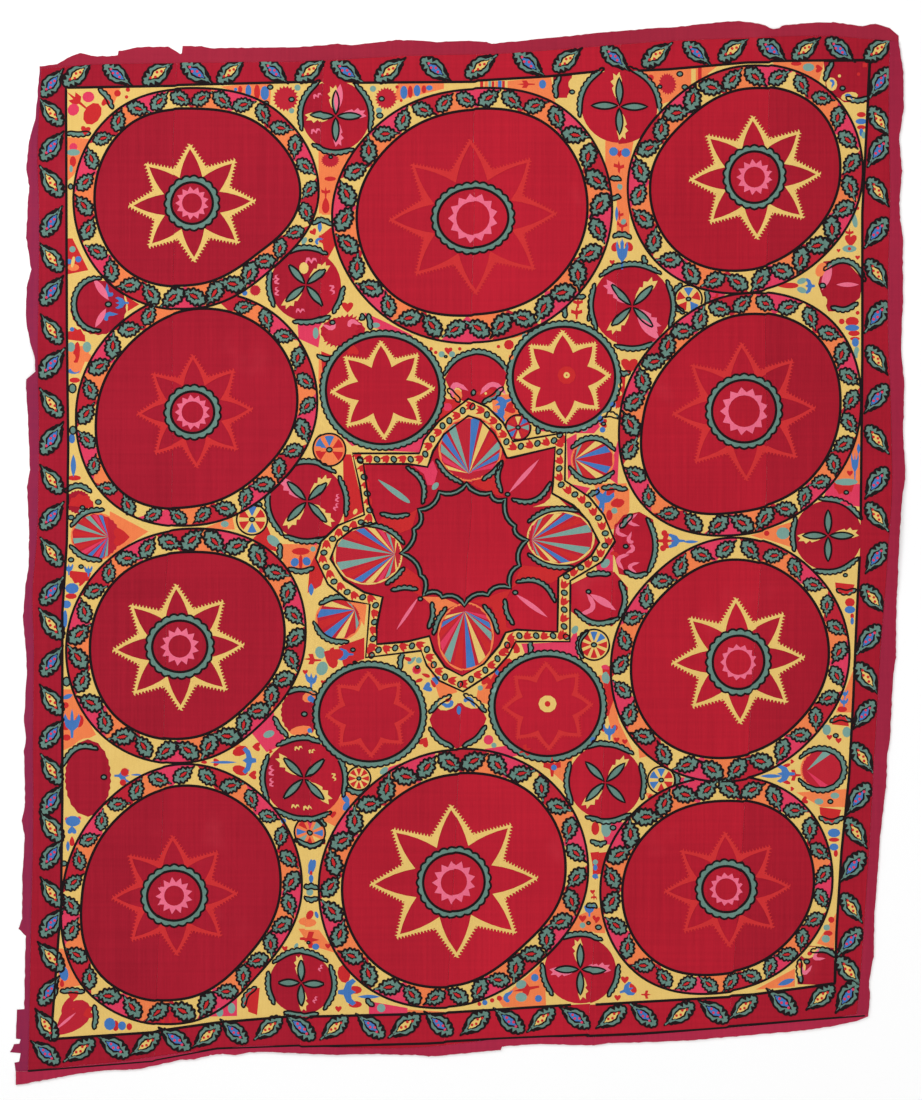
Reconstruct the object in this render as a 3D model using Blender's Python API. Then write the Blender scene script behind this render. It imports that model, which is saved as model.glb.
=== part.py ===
"""A hand-embroidered suzani, lying face up on a flat surface.

The ground is six loom-width strips of cotton, sewn side by side. A doubled cotton edging is sewn on
along each of its four sides. The cloth lies in the soft folds of a piece that was long kept folded.
Metres, +Z up. +Y points to the top of the design, and the origin is under the middle of the cloth.
"""

import math

import bmesh
import bpy

# Driving sizes
GROUND_THICKNESS = 0.0018  # cotton ground with the stitching in it
EDGING_THICKNESS = 0.0022  # cotton folded double
SEAM_GAP = 0.0003
ROWS = 46  # steps from the bottom edge to the top edge
STEPS_PER_STRIP = 5
CLOSEST_POINTS = 0.0004  # two points nearer than this share of a side are one

# Corners of the embroidered ground, where the edging's seams meet
TOP_LEFT = (-0.9166, 1.0648)
TOP_RIGHT = (0.9504, 1.1258)
BOTTOM_LEFT = (-0.9446, -1.1402)
BOTTOM_RIGHT = (0.8784, -1.0142)

# How far each side of the ground bows out from the straight line between its corners.
# Columns: share of the side's length, from the left or from the bottom; millimetres outwards
BOW_TOP = (
    (0.0, 0), (0.06, 7), (0.12, 5), (0.31, -3), (0.43, 3), (0.55, 0), (0.66, 10), (0.74, 17),
    (0.92, 18), (0.97, 8), (1.0, 0),
)
BOW_BOTTOM = (
    (0.0, 0), (0.05, -5), (0.11, -6), (0.16, -15), (0.27, -24), (0.34, -12), (0.45, 7), (0.5, 7),
    (0.58, -2), (0.7, 13), (0.79, 13), (0.96, 7), (1.0, 0),
)
BOW_LEFT = (
    (0.0, 0), (0.04, -1), (0.14, -2), (0.21, -4), (0.27, -4), (0.33, -1), (0.44, -1), (0.47, 7),
    (0.49, 4), (0.52, -4), (0.55, -6), (0.63, -6), (0.67, -4), (0.72, -1), (0.85, -1), (0.89, 3),
    (0.925, 8), (0.95, 2), (1.0, 0),
)
BOW_RIGHT = (
    (0.0, 0), (0.025, 4), (0.086, 9), (0.17, 15), (0.24, 18), (0.31, 22), (0.38, 25), (0.44, 32),
    (0.5, 35), (0.54, 40), (0.59, 33), (0.63, 30), (0.67, 22), (0.72, 16), (0.77, 14), (0.85, 13),
    (0.88, 8), (0.93, 3), (1.0, 0),
)

# The five seams between the strips. Columns: share of the width at the bottom edge, at the top edge
SEAMS = ((0.1524, 0.160), (0.328, 0.333), (0.502, 0.513), (0.675, 0.683), (0.845, 0.860))

# Width of the edging, worn and pulled unevenly. Columns: share of the side's length; millimetres
WIDTH_TOP = (
    (0.0, 6), (0.019, 8), (0.033, 20), (0.046, 28), (0.057, 21), (0.067, 18), (0.083, 17), (0.0905, 19),
    (0.0915, 28), (0.117, 36), (0.15, 36), (0.164, 20), (0.166, 21), (0.167, 38), (0.19, 36), (0.2, 32),
    (0.3, 32), (0.35, 35), (0.367, 30), (0.42, 36), (0.467, 29), (0.5, 30), (0.525, 27), (0.533, 22),
    (0.55, 25), (0.6, 27), (0.667, 30), (0.75, 30), (0.8, 37), (0.82, 38), (0.84, 33), (0.855, 25),
    (0.862, 17), (0.87, 19), (0.875, 25), (0.933, 31), (0.967, 27), (0.983, 35), (1.0, 29),
)
WIDTH_BOTTOM = (
    (0.0, 26), (0.033, 22), (0.067, 17), (0.1, 16), (0.133, 22), (0.15, 20), (0.183, 15), (0.2, 17),
    (0.22, 12), (0.235, 12), (0.25, 18), (0.267, 14), (0.37, 17), (0.42, 13), (0.467, 16), (0.483, 21),
    (0.57, 25), (0.572, 18), (0.6, 17), (0.62, 15), (0.68, 18), (0.7, 14), (0.8, 20), (0.93, 20),
    (0.97, 18), (1.0, 15),
)
WIDTH_LEFT = (
    (0.0, 27), (0.0085, 31), (0.0095, 20), (0.018, 18), (0.019, 41), (0.027, 32), (0.0275, 21),
    (0.032, 19), (0.0325, 28), (0.0615, 28), (0.062, 12), (0.135, 11), (0.142, 27), (0.152, 20),
    (0.2, 22), (0.233, 18), (0.25, 25), (0.267, 18), (0.32, 20), (0.333, 15), (0.35, 20), (0.4, 15),
    (0.45, 22), (0.5, 13), (0.53, 17), (0.583, 25), (0.6, 19), (0.683, 27), (0.69, 26), (0.698, 5),
    (0.712, 7), (0.733, 20), (0.75, 27), (0.783, 26), (0.8, 17), (0.833, 29), (0.867, 24), (0.883, 20),
    (0.9, 25), (0.933, 17), (0.95, 8), (1.0, 3),
)
WIDTH_RIGHT = (
    (0.0, 25), (0.017, 25), (0.033, 20), (0.06, 26), (0.1, 21), (0.183, 22), (0.233, 30), (0.267, 28),
    (0.283, 32), (0.35, 31), (0.367, 35), (0.4, 30), (0.433, 26), (0.5, 23), (0.533, 23), (0.55, 29),
    (0.6, 26), (0.65, 31), (0.683, 27), (0.733, 33), (0.8, 30), (0.817, 23), (0.833, 20), (0.867, 27),
    (0.9, 22), (0.933, 33), (0.967, 31), (1.0, 20),
)
# Width left at the corners, where wear has rounded them. Columns: left, right; millimetres
TOP_CORNERS = (6, 12)
BOTTOM_CORNERS = (30, 5)

# The main folds, each a soft ridge that fades out at both ends.
# Columns: name; start x, y; end x, y; height; half width, all in millimetres
FOLDS = (
    ("middle_top", 150, 1010, 205, 560, 9, 85),
    ("left_top_seam", -625, 700, -615, 420, 6, 60),
    ("right_top_upright", 735, 990, 700, 590, 8, 70),
    ("right_top_slanting", 860, 900, 720, 640, 7, 55),
    ("right_slanting", 690, 520, 520, 90, 10, 80),
    ("right_lower_upright", 490, 20, 480, -430, 8, 55),
    ("right_bottom_upright", 690, -540, 660, -940, 9, 90),
    ("middle_bottom_left", -30, -620, -45, -1000, 7, 60),
    ("middle_bottom_right", 125, -660, 105, -1010, 8, 50),
    ("middle_crease", -260, -650, 230, -640, 6, 45),
    ("left_crease", -830, -70, -390, -45, 5, 45),
    ("left_corner_long", -820, -1010, -560, -700, 10, 75),
    ("left_corner_short", -700, -1030, -610, -860, 6, 45),
    ("middle_seam", 20, 420, 5, -330, 5, 70),
    ("left_edge_tuck", -935, 500, -925, 330, 8, 40),
    ("right_edge_tuck", 950, 240, 945, -110, 7, 45),
    ("top_edge_sag", 590, 1120, 770, 1135, 6, 40),
    ("bottom_edge_sag", -480, -1075, -60, -1065, 5, 40),
)
RUN_ON = 0.2  # a fold fades out past both ends, over this share of its length
STEEPNESS = 1.2  # at the half width, a fold is down to about a quarter of its height
CONTACT_LEVEL = 0.0009  # what would lift less than this lies flat on the surface

# Colours, as red, green and blue in linear light
CRIMSON = (0.36, 0.008, 0.022, 1.0)
MAGENTA = (0.40, 0.012, 0.050, 1.0)


def read_off(table, share):
    """The second column of a table at this share, on straight lines between its rows."""
    for (low, first), (high, second) in zip(table, table[1:]):
        if share <= high:
            return first + (second - first) * max(0.0, share - low) / (high - low)
    return table[-1][1]


def smooth_read_off(table, share, reach=0.025):
    """The same, averaged over a short reach to both sides, so that a seam has no corners."""
    steps = (-1.0, -0.6, -0.2, 0.2, 0.6, 1.0)
    ends = min(share, 1.0 - share, reach)
    return sum(read_off(table, share + ends * step) for step in steps) / len(steps)


def side_point(start, end, bow, outwards, share):
    """A point on one side of the ground. The bow is taken along the X or the Y axis."""
    lift_out = 0.001 * smooth_read_off(bow, share)
    x = start[0] + (end[0] - start[0]) * share + outwards[0] * lift_out
    y = start[1] + (end[1] - start[1]) * share + outwards[1] * lift_out
    return x, y


def top_side(share):
    return side_point(TOP_LEFT, TOP_RIGHT, BOW_TOP, (0, 1), share)


def bottom_side(share):
    return side_point(BOTTOM_LEFT, BOTTOM_RIGHT, BOW_BOTTOM, (0, -1), share)


def left_side(share):
    return side_point(BOTTOM_LEFT, TOP_LEFT, BOW_LEFT, (-1, 0), share)


def right_side(share):
    return side_point(BOTTOM_RIGHT, TOP_RIGHT, BOW_RIGHT, (1, 0), share)


def ground_point(across, up):
    """The place on the surface of a point of the ground, given as shares of its width and height.

    It is a Coons patch: the ruled surfaces of both pairs of sides, less that of the corners.
    """
    place = []
    for axis in (0, 1):
        between_sides = (1 - across) * left_side(up)[axis] + across * right_side(up)[axis]
        between_ends = (1 - up) * bottom_side(across)[axis] + up * top_side(across)[axis]
        low = (1 - across) * BOTTOM_LEFT[axis] + across * BOTTOM_RIGHT[axis]
        high = (1 - across) * TOP_LEFT[axis] + across * TOP_RIGHT[axis]
        place.append(between_sides + between_ends - (1 - up) * low - up * high)
    return place[0], place[1]


def seam_share(seam, up):
    """Where a seam lies across the ground at this height."""
    at_bottom, at_top = seam
    return at_bottom + (at_top - at_bottom) * up


def fold_lift(x, y):
    """How high the underside of the cloth stands above the surface."""
    lift = 0.0
    for _, start_x, start_y, end_x, end_y, height, half_width in FOLDS:
        run_x, run_y = (end_x - start_x) / 1000, (end_y - start_y) / 1000
        from_x, from_y = x - start_x / 1000, y - start_y / 1000
        length = math.hypot(run_x, run_y)
        along = (from_x * run_x + from_y * run_y) / length**2
        beside = (from_x * run_y - from_y * run_x) / length
        if -RUN_ON < along < 1.0 + RUN_ON:
            fade = math.sin(math.pi * (along + RUN_ON) / (1.0 + 2 * RUN_ON)) ** 2
            across = STEEPNESS * beside / (half_width / 1000)
            lift += height / 1000 * fade * math.exp(-(across**2))
    return max(0.0, lift - CONTACT_LEVEL)


def material(name, colour, roughness):
    made = bpy.data.materials.new(name)
    made.use_nodes = True
    shader = made.node_tree.nodes["Principled BSDF"]
    shader.inputs["Base Color"].default_value = colour
    shader.inputs["Roughness"].default_value = roughness
    made.diffuse_color = colour
    return made


def cloth_piece(name, columns, rows, place, thickness, finish):
    """One piece of cloth of even thickness, as a solid.

    place gives the x and y of a grid point, by its column and its row. The underside follows the
    folds, and the face is the same sheet raised by the thickness.
    """
    shape = bmesh.new()
    bmesh.ops.create_grid(shape, x_segments=columns, y_segments=rows, size=0.5)
    for point in shape.verts:
        column = round((point.co.x + 0.5) * columns)
        row = round((point.co.y + 0.5) * rows)
        x, y = place(column, row)
        point.co = (x, y, fold_lift(x, y))
    face_up = bmesh.ops.extrude_face_region(shape, geom=shape.faces[:])
    raised = [made for made in face_up["geom"] if isinstance(made, bmesh.types.BMVert)]
    bmesh.ops.translate(shape, verts=raised, vec=(0.0, 0.0, thickness))
    bmesh.ops.recalc_face_normals(shape, faces=shape.faces[:])
    mesh = bpy.data.meshes.new(name)
    shape.to_mesh(mesh)
    shape.free()
    made = bpy.data.objects.new(name, mesh)
    made.data.materials.append(finish)
    bpy.context.collection.objects.link(made)
    mesh.shade_smooth()
    mesh.set_sharp_from_angle(angle=math.radians(40))
    return made


def ground_strip(number, finish):
    """One loom width of the ground, from its left seam to its right seam."""
    left_seam = SEAMS[number - 1] if number > 0 else (0.0, 0.0)
    right_seam = SEAMS[number] if number < len(SEAMS) else (1.0, 1.0)

    def place(column, row):
        up = row / ROWS
        left, right = seam_share(left_seam, up), seam_share(right_seam, up)
        x, y = ground_point(left + (right - left) * column / STEPS_PER_STRIP, up)
        if column == 0:
            x += SEAM_GAP / 2
        if column == STEPS_PER_STRIP:
            x -= SEAM_GAP / 2
        if row == 0:
            y += SEAM_GAP / 2
        if row == ROWS:
            y -= SEAM_GAP / 2
        return x, y

    name = f"ground_strip_{number + 1}"
    return cloth_piece(name, STEPS_PER_STRIP, ROWS, place, GROUND_THICKNESS, finish)


def ground_columns(up):
    """The shares of the width at which the ground's columns of points stand, at its top or bottom."""
    bounds = [(0.0, 0.0), *SEAMS, (1.0, 1.0)]
    shares = [0.0]
    for left_seam, right_seam in zip(bounds, bounds[1:]):
        left, right = seam_share(left_seam, up), seam_share(right_seam, up)
        shares += [left + (right - left) * step / STEPS_PER_STRIP for step in range(1, STEPS_PER_STRIP + 1)]
    return shares


def edging_shares(ground_shares, widths):
    """Where the edging's points stand: at each of the ground's points and at each row of its table."""
    kept = []
    for share in sorted([*ground_shares, *(row[0] for row in widths)]):
        if not kept or share - kept[-1] > CLOSEST_POINTS:
            kept.append(share)
    return kept


def seam_point(side, ground_shares, share):
    """A point of the seam, on the straight line between the ground's two nearest points."""
    for low, high in zip(ground_shares, ground_shares[1:]):
        if share <= high:
            break
    start, end = side(low), side(high)
    part = (share - low) / (high - low)
    return start[0] + (end[0] - start[0]) * part, start[1] + (end[1] - start[1]) * part


def level_edging(name, up, side, widths, corners, outwards, finish):
    """The edging along the top or the bottom, as long as the whole cloth is wide.

    Its inner edge follows the seam. At both ends it runs on past the ground, past the ends of the
    upright edgings, to a worn corner.
    """
    columns = ground_columns(up)
    shares = edging_shares(columns, widths)
    last = len(shares) + 1
    reach_left = 0.001 * (WIDTH_LEFT[-1] if up else WIDTH_LEFT[0])[1]
    reach_right = 0.001 * (WIDTH_RIGHT[-1] if up else WIDTH_RIGHT[0])[1]

    def place(column, row):
        share = shares[min(max(column - 1, 0), len(shares) - 1)]
        x, y = seam_point(side, columns, share)
        if column == 0:
            x -= reach_left
        if column == last:
            x += reach_right
        width = 0.001 * read_off(widths, share)
        if column in (0, last):
            width = 0.001 * corners[min(column, 1)]
        outer = row == (1 if outwards > 0 else 0)
        return x, y + outwards * (width if outer else SEAM_GAP / 2)

    return cloth_piece(name, last, 1, place, EDGING_THICKNESS, finish)


def upright_edging(name, side, widths, outwards, finish):
    """The edging along the left or the right side of the ground, between the level edgings."""
    rows = [row / ROWS for row in range(ROWS + 1)]
    shares = edging_shares(rows, widths)
    last = len(shares) - 1

    def place(column, row):
        x, y = seam_point(side, rows, shares[row])
        outer = column == (1 if outwards > 0 else 0)
        width = 0.001 * read_off(widths, shares[row]) if outer else SEAM_GAP / 2
        if row == 0:
            y += SEAM_GAP / 2
        if row == last:
            y -= SEAM_GAP / 2
        return x + outwards * width, y

    return cloth_piece(name, 1, last, place, EDGING_THICKNESS, finish)


def main():
    for old in list(bpy.data.objects):
        bpy.data.objects.remove(old)
    ground = material("crimson_cotton", CRIMSON, 0.85)
    edging = material("magenta_cotton", MAGENTA, 0.8)
    for number in range(len(SEAMS) + 1):
        ground_strip(number, ground)
    level_edging("edging_top", 1, top_side, WIDTH_TOP, TOP_CORNERS, 1, edging)
    level_edging("edging_bottom", 0, bottom_side, WIDTH_BOTTOM, BOTTOM_CORNERS, -1, edging)
    upright_edging("edging_left", left_side, WIDTH_LEFT, -1, edging)
    upright_edging("edging_right", right_side, WIDTH_RIGHT, 1, edging)


main()
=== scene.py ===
"""The looks of a hand-embroidered suzani that lies face up on a pale floor.

Everything is drawn flat, in millimetres on the cloth, with +X to the right and +Y to the top of the
design. Then it is laid over the soft folds of the cloth. The ground and the edging are thin sheets.
The silk fills are one flat arrangement of patches, cut where they meet. Leaves are modelled once and
copied, and every dark line is a couched cord.
"""

from __future__ import annotations

import logging
import math
import random
from collections.abc import Callable, Sequence
from dataclasses import dataclass, field
from enum import Enum

import bmesh
import bpy
import numpy as np
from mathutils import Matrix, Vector, geometry

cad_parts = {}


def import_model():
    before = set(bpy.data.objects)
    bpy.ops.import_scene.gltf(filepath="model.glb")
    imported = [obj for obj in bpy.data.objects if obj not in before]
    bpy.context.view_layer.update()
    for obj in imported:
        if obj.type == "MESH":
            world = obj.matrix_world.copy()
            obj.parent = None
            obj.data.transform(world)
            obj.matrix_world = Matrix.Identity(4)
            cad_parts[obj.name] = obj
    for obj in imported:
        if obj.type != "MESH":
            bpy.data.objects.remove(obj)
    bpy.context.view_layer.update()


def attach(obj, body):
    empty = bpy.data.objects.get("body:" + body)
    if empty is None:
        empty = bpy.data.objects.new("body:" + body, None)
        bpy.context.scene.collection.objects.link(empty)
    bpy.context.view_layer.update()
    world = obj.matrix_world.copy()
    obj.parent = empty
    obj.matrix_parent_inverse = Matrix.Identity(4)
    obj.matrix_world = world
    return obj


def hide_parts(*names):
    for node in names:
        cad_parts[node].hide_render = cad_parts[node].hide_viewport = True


Point = tuple[float, float]
Path = list[Point]

log = logging.getLogger("suzani")

MM = 0.001  # the design's millimetres, in the scene's metres


class Thread(Enum):
    """The silks and threads, by the name of the record's material slot."""

    YELLOW = "silk_yellow"
    ORANGE = "silk_orange"
    RED = "silk_red"
    PINK = "silk_pink"
    ROSE = "silk_rose"
    GREEN = "silk_green"
    BLUE = "silk_blue"
    TEAL = "silk_teal"
    FADED = "silk_faded_red"
    CRIMSON = "silk_crimson"
    OUTLINE = "outline_thread"
    BARE = "ground_cotton"


SLOT_OF = {Thread.ROSE: "silk_pink", Thread.FADED: "silk_red", Thread.CRIMSON: "silk_red"}


# Outlines in the plane of the cloth


def spread(low: float, high: float, count: int) -> list[float]:
    """Evenly spaced values from low to high, both included."""
    return [low + (high - low) * step / (count - 1) for step in range(count)]


def through(values: Sequence[float], place: float) -> float:
    """A smooth closed curve through evenly spaced values, read off at a place from 0 to 1."""
    count = len(values)
    step = place * count
    first = math.floor(step)
    part = step - first
    before, start, end, after = (values[(first + shift) % count] for shift in (-1, 0, 1, 2))
    bend = (end - before) * part + (2 * before - 5 * start + 4 * end - after) * part**2
    bend += (3 * start - before - 3 * end + after) * part**3
    return start + 0.5 * bend


def around(centre: Point, radii: Sequence[float], steps: int = 96) -> Path:
    """A closed outline through radii measured in even directions, from the right and turning left."""
    path = []
    for step in range(steps):
        angle = 2 * math.pi * step / steps
        reach = through(radii, step / steps)
        path.append((centre[0] + reach * math.cos(angle), centre[1] + reach * math.sin(angle)))
    return path


def ellipse(width: float, height: float | None = None, steps: int = 20) -> Path:
    """A closed ellipse about the origin, of this whole width and height."""
    high = width if height is None else height
    angles = [2 * math.pi * step / steps for step in range(steps)]
    return [(0.5 * width * math.cos(angle), 0.5 * high * math.sin(angle)) for angle in angles]


def almond(length: float, width: float, steps: int = 7, fullness: float = 0.85) -> Path:
    """A petal pointed at both ends, from the origin along +X."""
    along = spread(0.0, 1.0, steps)
    sides = [(length * part, 0.5 * width * math.sin(math.pi * part) ** fullness) for part in along]
    return sides + [(x, -y) for x, y in sides[-2:0:-1]]


def drop(length: float, width: float, steps: int = 16) -> Path:
    """A petal round at the origin and pointed at its far end along +X."""
    path = []
    for step in range(steps):
        angle = 2 * math.pi * step / steps
        taper = (0.5 - 0.5 * math.cos(angle)) ** 0.75
        path.append((0.5 * length * (1 + math.cos(angle)), 0.58 * width * math.sin(angle) * taper**0.5))
    return path


def heart(size: float, steps: int = 18) -> Path:
    """A heart about the origin, with its point along +X."""
    path = []
    for step in range(steps):
        angle = 2 * math.pi * step / steps
        x = 13 * math.cos(angle) - 5 * math.cos(2 * angle) - 2 * math.cos(3 * angle)
        y = 16 * math.sin(angle) ** 3
        path.append((-size * (x - 2.5) / 30, size * y / 32))
    return path


def toothed(inner: float, outer: float, teeth: int, first: float = 0.0) -> Path:
    """A closed rim of pointed teeth about the origin."""
    path = []
    for tooth in range(teeth):
        for reach, shift in ((inner, 0.0), (outer, 0.5)):
            angle = first + 2 * math.pi * (tooth + shift) / teeth
            path.append((reach * math.cos(angle), reach * math.sin(angle)))
    return path


def sector(reach: float, start: float, end: float, hub: float = 0.0, steps: int = 4) -> Path:
    """A slice of a round about the origin, between two angles in degrees."""
    angles = [math.radians(angle) for angle in spread(start, end, steps)]
    rim = [(reach * math.cos(angle), reach * math.sin(angle)) for angle in angles]
    return rim + [(hub * math.cos(angle), hub * math.sin(angle)) for angle in reversed(angles)]


def placed(path: Path, at: Point, turn: float = 0.0, scale: float = 1.0, flat: float = 1.0) -> Path:
    """A local outline, scaled, turned by degrees and moved to its place."""
    cos, sin = math.cos(math.radians(turn)), math.sin(math.radians(turn))
    moved = []
    for x, y in path:
        x, y = x * scale, y * scale * flat
        moved.append((at[0] + x * cos - y * sin, at[1] + x * sin + y * cos))
    return moved


def lengths(path: Path, closed: bool) -> np.ndarray:
    """The distance along a path to each of its points, and back to the first one if it is closed."""
    points = np.array([*path, path[0]] if closed else path)
    runs = np.hypot(*np.diff(points, axis=0).T)
    return np.concatenate([[0.0], np.cumsum(runs)])


def resampled(path: Path, step: float, closed: bool) -> Path:
    """The same path with evenly spaced points, about one step apart."""
    points = np.array([*path, path[0]] if closed else path)
    run = lengths(path, closed)
    count = max(2, round(run[-1] / step))
    where = np.linspace(0.0, run[-1], count + (0 if closed else 1), endpoint=not closed)
    x, y = np.interp(where, run, points[:, 0]), np.interp(where, run, points[:, 1])
    return list(zip(x.tolist(), y.tolist()))


def normals(path: Path, closed: bool) -> np.ndarray:
    """The unit normal to the right of a path at each of its points."""
    points = np.array(path)
    if closed:
        runs = np.roll(points, -1, axis=0) - np.roll(points, 1, axis=0)
    else:
        runs = np.gradient(points, axis=0)
    size = np.maximum(np.hypot(runs[:, 0], runs[:, 1]), 1e-9)
    return np.stack([runs[:, 1] / size, -runs[:, 0] / size], axis=1)


def offset(path: Path, distance: float | Sequence[float], closed: bool) -> Path:
    """A path moved sideways, to the right of its way, which is outwards on an outline that turns left."""
    moved = np.array(path) + normals(path, closed) * np.reshape(distance, (-1, 1))
    return [tuple(point) for point in moved.tolist()]


def scalloped(path: Path, pitch: float, depth: float, closed: bool) -> Path:
    """A path with small round scallops standing out on its right."""
    run = lengths(path, closed)[-1]
    count = max(2, round(run / pitch))
    fine = resampled(path, run / (4 * count), closed)
    bumps = [depth * abs(math.sin(math.pi * step / 4)) for step in range(len(fine))]
    return offset(fine, bumps, closed)


def arc(at: Point, radius: float, start: float, end: float, flat: float = 1.0, steps: int = 14) -> Path:
    """An open arc about a point, from one angle in degrees to another, turning left."""
    angles = [math.radians(angle) for angle in spread(start, end, steps)]
    return [(at[0] + radius * math.cos(a), at[1] + radius * flat * math.sin(a)) for a in angles]


def inside(path: Path, points: np.ndarray) -> np.ndarray:
    """Which of the points lie inside a closed outline."""
    x, y = points[:, 0], points[:, 1]
    crossed = np.zeros(len(points), dtype=bool)
    for (x0, y0), (x1, y1) in zip(path, [*path[1:], path[0]]):
        spans = (y0 > y) != (y1 > y)
        if spans.any():
            crossed ^= spans & (x < (x1 - x0) * (y - y0) / (y1 - y0 + 1e-12) + x0)
    return crossed


def turning_left(path: Path) -> Path:
    """The same outline, with its points in the order that turns left."""
    points = np.array(path)
    ahead = np.roll(points, -1, axis=0)
    area = np.sum(points[:, 0] * ahead[:, 1] - ahead[:, 0] * points[:, 1])
    return path if area > 0 else path[::-1]


# The shape of the cloth


def read_off(table: Sequence[Sequence[float]], share: float) -> float:
    """The second column of a table at this share, on straight lines between its rows."""
    return float(np.interp(share, [row[0] for row in table], [row[1] for row in table]))


@dataclass
class Folds:
    """The soft folds in which the cloth lies. They are those of the solids, with finer ones added.

    The rows' columns are a name, the start, the end, the height and the half width, in millimetres.
    """

    rows: tuple[tuple[str, float, float, float, float, float, float], ...] = (
        ("middle_top", 150, 1010, 205, 560, 9, 85),
        ("left_top_seam", -625, 700, -615, 420, 6, 60),
        ("right_top_upright", 735, 990, 700, 590, 8, 70),
        ("right_top_slanting", 860, 900, 720, 640, 7, 55),
        ("right_slanting", 690, 520, 520, 90, 10, 80),
        ("right_lower_upright", 490, 20, 480, -430, 8, 55),
        ("right_bottom_upright", 690, -540, 660, -940, 9, 90),
        ("middle_bottom_left", -30, -620, -45, -1000, 7, 60),
        ("middle_bottom_right", 125, -660, 105, -1010, 8, 50),
        ("middle_crease", -260, -650, 230, -640, 6, 45),
        ("left_crease", -830, -70, -390, -45, 5, 45),
        ("left_corner_long", -820, -1010, -560, -700, 10, 75),
        ("left_corner_short", -700, -1030, -610, -860, 6, 45),
        ("middle_seam", 20, 420, 5, -330, 5, 70),
        ("left_edge_tuck", -935, 500, -925, 330, 8, 40),
        ("right_edge_tuck", 950, 240, 945, -110, 7, 45),
        ("top_edge_sag", 590, 1120, 770, 1135, 6, 40),
        ("bottom_edge_sag", -480, -1075, -60, -1065, 5, 40),
    )
    run_on: float = 0.2
    steepness: float = 1.2
    contact_level: float = 0.9
    pucker_height: float = 0.35
    pucker_pitch: float = 95.0

    def lift(self, points: np.ndarray) -> np.ndarray:
        """How high the underside stands above the floor at each point, in millimetres.

        Args:
            points: the places on the cloth, one row of x and y each.
        Returns:
            One height for each row.
        """
        height = np.zeros(len(points))
        for _, start_x, start_y, end_x, end_y, top, half_width in self.rows:
            run = np.array([end_x - start_x, end_y - start_y])
            away = points - np.array([start_x, start_y])
            length = float(np.hypot(*run))
            along = away @ run / length**2
            beside = (away[:, 0] * run[1] - away[:, 1] * run[0]) / length
            fade = np.sin(np.pi * (along + self.run_on) / (1 + 2 * self.run_on)) ** 2
            near = (along > -self.run_on) & (along < 1 + self.run_on)
            height += near * top * fade * np.exp(-((self.steepness * beside / half_width) ** 2))
        return np.maximum(0.0, height - self.contact_level) + self.puckers(points)

    def puckers(self, points: np.ndarray) -> np.ndarray:
        """The small uneven swellings that the stitching draws into the cloth, in millimetres."""
        x, y = points.T / self.pucker_pitch * 2 * math.pi
        wave = np.sin(x + 1.7 * np.sin(0.31 * y)) * np.sin(0.83 * y + 1.3 * np.sin(0.27 * x))
        wave += 0.6 * np.sin(1.9 * x + 0.9 * y) * np.sin(0.4 * x - 1.6 * y)
        return self.pucker_height * (0.5 + 0.5 * np.clip(wave, -1.0, 1.0))


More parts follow.
